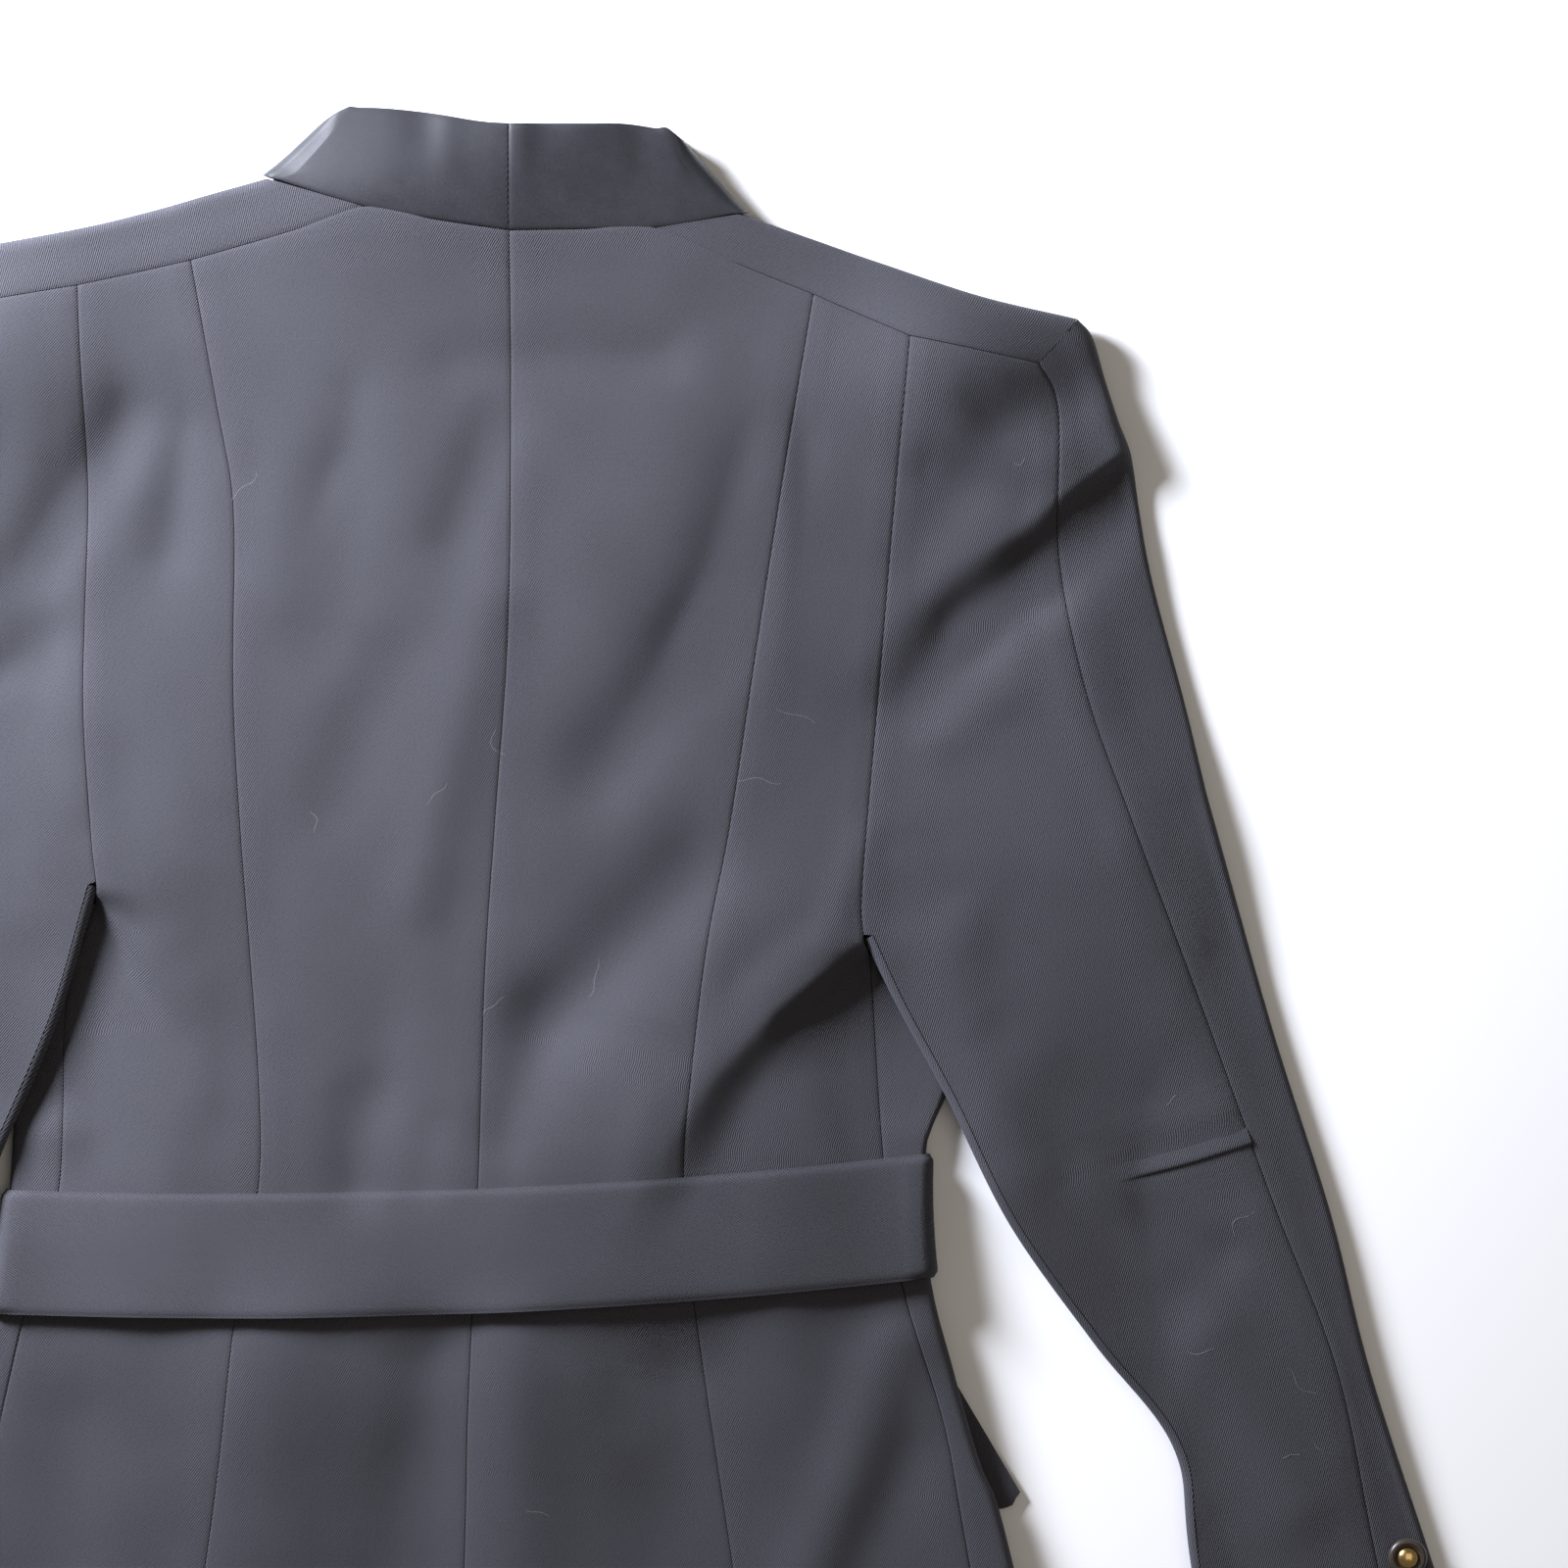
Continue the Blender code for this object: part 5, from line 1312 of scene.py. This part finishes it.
def noise(tree, place, scale, detail, roughness=0.5):
    """A noise over the place coordinates, between 0 and 1."""
    sockets = {"Vector": place, "Scale": scale, "Detail": detail, "Roughness": roughness}
    return add(tree, "ShaderNodeTexNoise", sockets).outputs["Fac"]


def plus_share(tree, part, share, rest):
    """The rest plus a share of the part."""
    return add(tree, "ShaderNodeMath", {0: part, 1: share, 2: rest}, operation="MULTIPLY_ADD").outputs[0]


def shaded(tree, value, low, high, dark, light):
    """A colour that runs from dark to light while the value runs from low to high."""
    ramp = add(tree, "ShaderNodeValToRGB", {"Fac": value})
    for index, (place, colour) in enumerate(((low, dark), (high, light))):
        ramp.color_ramp.elements[index].position = place
        ramp.color_ramp.elements[index].color = (*colour, 1)
    return ramp.outputs["Color"]


def bumped(tree, height, strength, depth):
    """The surface's direction over a height of the given depth."""
    sockets = {"Height": height, "Strength": strength, "Distance": depth}
    return add(tree, "ShaderNodeBump", sockets).outputs["Normal"]


def wave_scale(pitch):
    """The wave node's scale for a pitch in metres: the node takes the sine of 20 times the way."""
    return 2 * math.pi / (20 * pitch)


def twill_finish(name, light, dark, rib_pitch, rib_depth):
    """Wool twill: diagonal ribs by the cloth's UV map, slubs across them, and a slow uneven tone.
    The ribs are a sine of the distance across them, which the slubs break up."""
    made, tree, shader = new_finish(name)
    uv = add(tree, "ShaderNodeUVMap", {}, uv_map="cloth").outputs["UV"]
    turned = add(tree, "ShaderNodeMapping", {"Vector": uv, "Rotation": (0, 0, math.radians(-RIB_ANGLE))})
    wave = {"Vector": turned.outputs["Vector"], "Scale": wave_scale(rib_pitch), "Distortion": 1.5,
            "Detail": 2.0, "Detail Scale": 1.4}
    ribs = add(tree, "ShaderNodeTexWave", wave, wave_type="BANDS", bands_direction="Y", wave_profile="SIN")
    weave = plus_share(tree, noise(tree, uv, 1150.0, 3.0, 0.65), 1.3, ribs.outputs["Fac"])
    whole = plus_share(tree, noise(tree, uv, 26.0, 4.0), 0.42, weave)
    level = add(tree, "ShaderNodeMath", {0: whole, 1: 0.5}, operation="MULTIPLY").outputs[0]
    fill(tree, shader, {
        "Base Color": shaded(tree, level, 0.2, 0.85, dark, light), "Roughness": 0.82,
        "Specular IOR Level": 0.16, "Sheen Weight": 0.1, "Sheen Roughness": 0.42,
        "Sheen Tint": (0.82, 0.85, 0.95, 1.0), "Normal": bumped(tree, weave, 0.75, rib_depth)})
    return made


def satin_finish(name, colour):
    """Satin: smooth long floats with a soft sheen, a very fine rib across and a cloudy tone."""
    made, tree, shader = new_finish(name)
    uv = add(tree, "ShaderNodeUVMap", {}, uv_map="cloth").outputs["UV"]
    wave = {"Vector": uv, "Scale": wave_scale(FLOAT_PITCH), "Distortion": 1.5}
    floats = add(tree, "ShaderNodeTexWave", wave, wave_type="BANDS", bands_direction="DIAGONAL")
    cloud = plus_share(tree, noise(tree, uv, 1100.0, 2.0), 0.6, noise(tree, uv, 60.0, 9.0, 0.78))
    dark = [0.70 * c for c in colour]
    light = [1.32 * c for c in colour]
    fill(tree, shader, {
        "Base Color": shaded(tree, cloud, 0.6, 1.0, dark, light), "Roughness": 0.48,
        "Specular IOR Level": 0.4, "Sheen Weight": 0.15, "Sheen Roughness": 0.3,
        "Sheen Tint": (0.75, 0.8, 0.95, 1.0),
        "Normal": bumped(tree, floats.outputs["Fac"], 0.35, FLOAT_DEPTH)})
    return made


def hard_finish(name, colour, roughness, metallic, scale, change):
    """A hard surface whose tone and gloss vary with fine noise on Object coordinates."""
    made, tree, shader = new_finish(name)
    place = add(tree, "ShaderNodeTexCoord", {}).outputs["Object"]
    grain = noise(tree, place, scale, 4.0)
    dark = [c * (1 - change) for c in colour]
    light = [min(1.0, c * (1 + change)) for c in colour]
    gloss = add(tree, "ShaderNodeMapRange",
                {"Value": grain, "To Min": roughness * 0.8, "To Max": roughness * 1.25})
    fill(tree, shader, {"Base Color": shaded(tree, grain, 0.0, 1.0, dark, light), "Metallic": metallic,
                        "Roughness": gloss.outputs["Result"]})
    return made


def cut_area(piece):
    """Half the area of a closed wall, which is the area of the cloth that it stands for."""
    mesh = piece.data
    areas = np.zeros(len(mesh.polygons))
    mesh.polygons.foreach_get("area", areas)
    return float(areas.sum() / 2)


def settle(piece, node=None):
    """Rides a piece on the garment's one body, and hides the frame's part that it stands for, where one is
    named.
    """
    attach(piece, "root")
    if node:
        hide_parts(node)


def declare(made):
    """Settles each cloth piece and states its cut: the longest way across and down the piece,
    measured along the cloth, and its area."""
    for piece, node in made:
        settle(piece, node)
        width, length = piece["cut"]
        min(cut_area(piece), width * length)
        print("sheet %s %.3f x %.3f m, %.4f m2" % (piece.name, width, length, cut_area(piece)))


class BlazerSizes(bpy.types.PropertyGroup):
    """Sizes of the cloth's grain, the lint and the view"""
    rib_pitch: bpy.props.FloatProperty(name="Rib pitch", description="Distance between the twill's ribs",
                                       default=0.00075, unit="LENGTH", precision=5)
    rib_depth: bpy.props.FloatProperty(name="Rib depth", description="Depth between the twill's ribs",
                                       default=0.00018, unit="LENGTH", precision=5)
    lint_count: bpy.props.IntProperty(name="Lint fibres", description="Number of lint fibres on the back",
                                      default=24, min=8)
    view_width: bpy.props.FloatProperty(name="View width", description="Width that the camera sees",
                                        default=0.5792, unit="LENGTH")
    view_height: bpy.props.FloatProperty(name="Camera height", default=2.2, unit="LENGTH",
                                         description="Height of the camera over the floor")


class BlazerColours(bpy.types.PropertyGroup):
    """Colours of the cloth, buttons and floor, and the strength of the lights"""
    rib_light: bpy.props.FloatVectorProperty(name="Rib colour", description="Twill colour on the ribs",
                                             default=(0.0690, 0.0682, 0.0797), subtype="COLOR")
    rib_dark: bpy.props.FloatVectorProperty(name="Groove colour", description="Twill colour between the ribs",
                                            default=(0.0090, 0.0089, 0.0104), subtype="COLOR")
    satin: bpy.props.FloatVectorProperty(name="Satin colour", description="Colour of the collar's satin",
                                         default=(0.0164, 0.0165, 0.0212), subtype="COLOR")
    gold: bpy.props.FloatVectorProperty(name="Gold colour", description="Colour of the buttons' domes",
                                        default=(0.72, 0.50, 0.20), subtype="COLOR")
    rim: bpy.props.FloatVectorProperty(name="Rim colour", description="Colour of the buttons' rims",
                                       default=(0.035, 0.027, 0.022), subtype="COLOR")
    floor: bpy.props.FloatVectorProperty(name="Floor colour", description="Colour of the pale floor",
                                         default=(0.93, 0.93, 0.93), subtype="COLOR")
    key_power: bpy.props.FloatProperty(name="Key power", description="Power of the upper left light",
                                       default=51.0, unit="POWER")
    fill_power: bpy.props.FloatProperty(name="Fill power", description="Power of the overhead light",
                                        default=3.9, unit="POWER")
    sky: bpy.props.FloatProperty(name="Sky", description="Brightness of the light from all round",
                                 default=0.145)


def finish_named(context, name):
    """Fetches a finish, or makes it from the colours that the user set."""
    if name in bpy.data.materials:
        return bpy.data.materials[name]
    sizes = context.scene.blazer_sizes
    colours = context.scene.blazer_colours
    if name == "wool_twill":
        return twill_finish(name, colours.rib_light, colours.rib_dark, sizes.rib_pitch, sizes.rib_depth)
    if name == "collar_satin":
        return satin_finish(name, colours.satin)
    if name == "gold":
        return hard_finish(name, colours.gold, 0.24, 1.0, 900.0, 0.14)
    if name == "button_rim":
        return hard_finish(name, colours.rim, 0.34, 0.0, 700.0, 0.3)
    if name == "lint":
        return hard_finish(name, (0.30, 0.29, 0.28), 0.8, 0.0, 300.0, 0.2)
    if name == "sewing_thread":
        return hard_finish(name, (0.012, 0.012, 0.016), 0.6, 0.0, 900.0, 0.2)
    if name == "covered_buckle":
        return hard_finish(name, (0.03, 0.031, 0.038), 0.8, 0.0, 1400.0, 0.35)
    raise KeyError(name)


class BLAZER_OT_back(bpy.types.Operator):
    """Builds the centre back, side back and side panels"""
    bl_idname = "blazer.back"
    bl_label = "Back panels"

    def execute(self, context):
        twill = finish_named(context, "wool_twill")
        for side in SIDES:
            declare(build_back(side, twill))
            declare(build_side_panel(side, twill))
        return {"FINISHED"}


class BLAZER_OT_yokes(bpy.types.Operator):
    """Builds the two shoulder pieces"""
    bl_idname = "blazer.yokes"
    bl_label = "Shoulder pieces"

    def execute(self, context):
        twill = finish_named(context, "wool_twill")
        for side in SIDES:
            declare(build_yoke(side, twill))
        return {"FINISHED"}


class BLAZER_OT_sleeves(bpy.types.Operator):
    """Builds both sleeves and the elbow dart"""
    bl_idname = "blazer.sleeves"
    bl_label = "Sleeves"

    def execute(self, context):
        twill = finish_named(context, "wool_twill")
        for side in SIDES:
            made = build_sleeve(side, twill)
            declare(made[:1])
            declare(made[1:])
        declare([(build_dart(twill), None)])
        return {"FINISHED"}


class BLAZER_OT_fronts(bpy.types.Operator):
    """Builds the fronts, lapels and pocket flaps of the underside"""
    bl_idname = "blazer.fronts"
    bl_label = "Fronts, lapels and flaps"

    def execute(self, context):
        twill = finish_named(context, "wool_twill")
        satin = finish_named(context, "collar_satin")
        for side in SIDES:
            declare(build_front(side, twill))
            declare(build_lapel(side, satin))
            declare(build_flap(side, twill))
        return {"FINISHED"}


class BLAZER_OT_collar(bpy.types.Operator):
    """Builds the satin collar and its stitching"""
    bl_idname = "blazer.collar"
    bl_label = "Satin collar"

    def execute(self, context):
        satin = finish_named(context, "collar_satin")
        for side in SIDES:
            declare(build_collar(side, satin))
        settle(build_collar_stitches(finish_named(context, "sewing_thread")))
        return {"FINISHED"}


class BLAZER_OT_belt(bpy.types.Operator):
    """Builds the cloth belt"""
    bl_idname = "blazer.belt"
    bl_label = "Belt"

    def execute(self, context):
        twill = finish_named(context, "wool_twill")
        declare(build_belt(twill))
        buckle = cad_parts["buckle"]
        buckle.data.materials.clear()
        buckle.data.materials.append(finish_named(context, "covered_buckle"))
        return {"FINISHED"}


class BLAZER_OT_buttons(bpy.types.Operator):
    """Builds the sleeve buttons and the front buttons"""
    bl_idname = "blazer.buttons"
    bl_label = "Buttons"

    def execute(self, context):
        finishes = (finish_named(context, "button_rim"), finish_named(context, "gold"))
        for side in SIDES:
            for number in (1, 2, 3):
                made = build_cuff_button(side, number, finishes) + build_front_button(side, number, finishes)
                for piece, node in made:
                    settle(piece, node)
        return {"FINISHED"}


class BLAZER_OT_lint(bpy.types.Operator):
    """Scatters the lint fibres that lie on the cloth"""
    bl_idname = "blazer.lint"
    bl_label = "Lint fibres"

    def execute(self, context):
        count = context.scene.blazer_sizes.lint_count
        settle(build_lint(count, finish_named(context, "lint")))
        return {"FINISHED"}


class BLAZER_OT_stage(bpy.types.Operator):
    """Makes the pale floor, the soft light and the camera that looks straight down"""
    bl_idname = "blazer.stage"
    bl_label = "Stage"

    def execute(self, context):
        colours = context.scene.blazer_colours
        sizes = context.scene.blazer_sizes
        made, tree, shader = new_finish("pale_floor")
        fill(tree, shader, {"Base Color": (*colours.floor, 1.0), "Roughness": 0.9})
        corners = np.array([(-1, -1, 0), (1, -1, 0), (1, 1, 0), (-1, 1, 0)]) * FLOOR_HALF
        floor = mesh_object("floor", corners - (0, 0, FLOOR_DROP), np.array([[0, 1, 2, 3]]), made)
        world = bpy.data.worlds.new("studio")
        world.use_nodes = True
        background = world.node_tree.nodes["Background"]
        fill(world.node_tree, background, {"Color": SKY_COLOUR, "Strength": colours.sky})
        context.scene.world = world
        self.lamp("key", colours.key_power, *KEY_LAMP)
        self.lamp("fill", colours.fill_power, *FILL_LAMP)
        camera_data = bpy.data.cameras.new("camera")
        camera = bpy.data.objects.new("camera", camera_data)
        context.scene.collection.objects.link(camera)
        centre = in_frame(VIEW_CENTRE)
        camera.location = (centre[0], centre[1], sizes.view_height)
        camera_data.sensor_width = SENSOR
        camera_data.lens = SENSOR * (sizes.view_height - BACK_HEIGHT) / sizes.view_width
        camera_data.clip_end = 50.0
        context.scene.camera = camera
        context.scene.view_settings.view_transform = "Standard"
        return {"FINISHED"}

    def lamp(self, name, power, place, target, size, colour):
        """Hangs a square lamp that faces its target."""
        data = bpy.data.lights.new(name, "AREA")
        data.size = size
        data.energy = power
        data.color = colour
        lamp = bpy.data.objects.new(name, data)
        bpy.context.scene.collection.objects.link(lamp)
        lamp.location = place
        away = np.array(place) - np.array(target)
        flat = math.hypot(away[0], away[1])
        lamp.rotation_euler = (math.atan2(flat, away[2]), 0.0, math.atan2(away[0], -away[1]))


class BLAZER_PT_panel(bpy.types.Panel):
    """Lists the blazer's steps"""
    bl_label = "Blazer"
    bl_idname = "BLAZER_PT_panel"
    bl_space_type = "VIEW_3D"
    bl_region_type = "UI"
    bl_category = "Blazer"

    def draw(self, context):
        """Draws a button for each step, then every size and colour."""
        for step in STEPS:
            self.layout.operator("blazer." + step)
        for group in (context.scene.blazer_sizes, context.scene.blazer_colours):
            for name in group.__annotations__:
                self.layout.prop(group, name)


STEPS = ("back", "yokes", "sleeves", "fronts", "collar", "belt", "buttons", "lint", "stage")
CLASSES = (BlazerSizes, BlazerColours, BLAZER_OT_back, BLAZER_OT_yokes, BLAZER_OT_sleeves,
           BLAZER_OT_fronts, BLAZER_OT_collar, BLAZER_OT_belt, BLAZER_OT_buttons, BLAZER_OT_lint,
           BLAZER_OT_stage, BLAZER_PT_panel)


def register():
    """Registers the classes and hangs the sizes and colours on the scene."""
    for each in CLASSES:
        bpy.utils.register_class(each)
    bpy.types.Scene.blazer_sizes = bpy.props.PointerProperty(type=BlazerSizes)
    bpy.types.Scene.blazer_colours = bpy.props.PointerProperty(type=BlazerColours)


def unregister():
    """Takes away what register adds, the last first."""
    del bpy.types.Scene.blazer_colours
    del bpy.types.Scene.blazer_sizes
    for each in reversed(CLASSES):
        bpy.utils.unregister_class(each)


def main():
    """Registers the add-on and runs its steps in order."""
    complete_left()
    register()
    for step in STEPS:
        getattr(bpy.ops.blazer, step)()


if __name__ == "__main__":
    main()
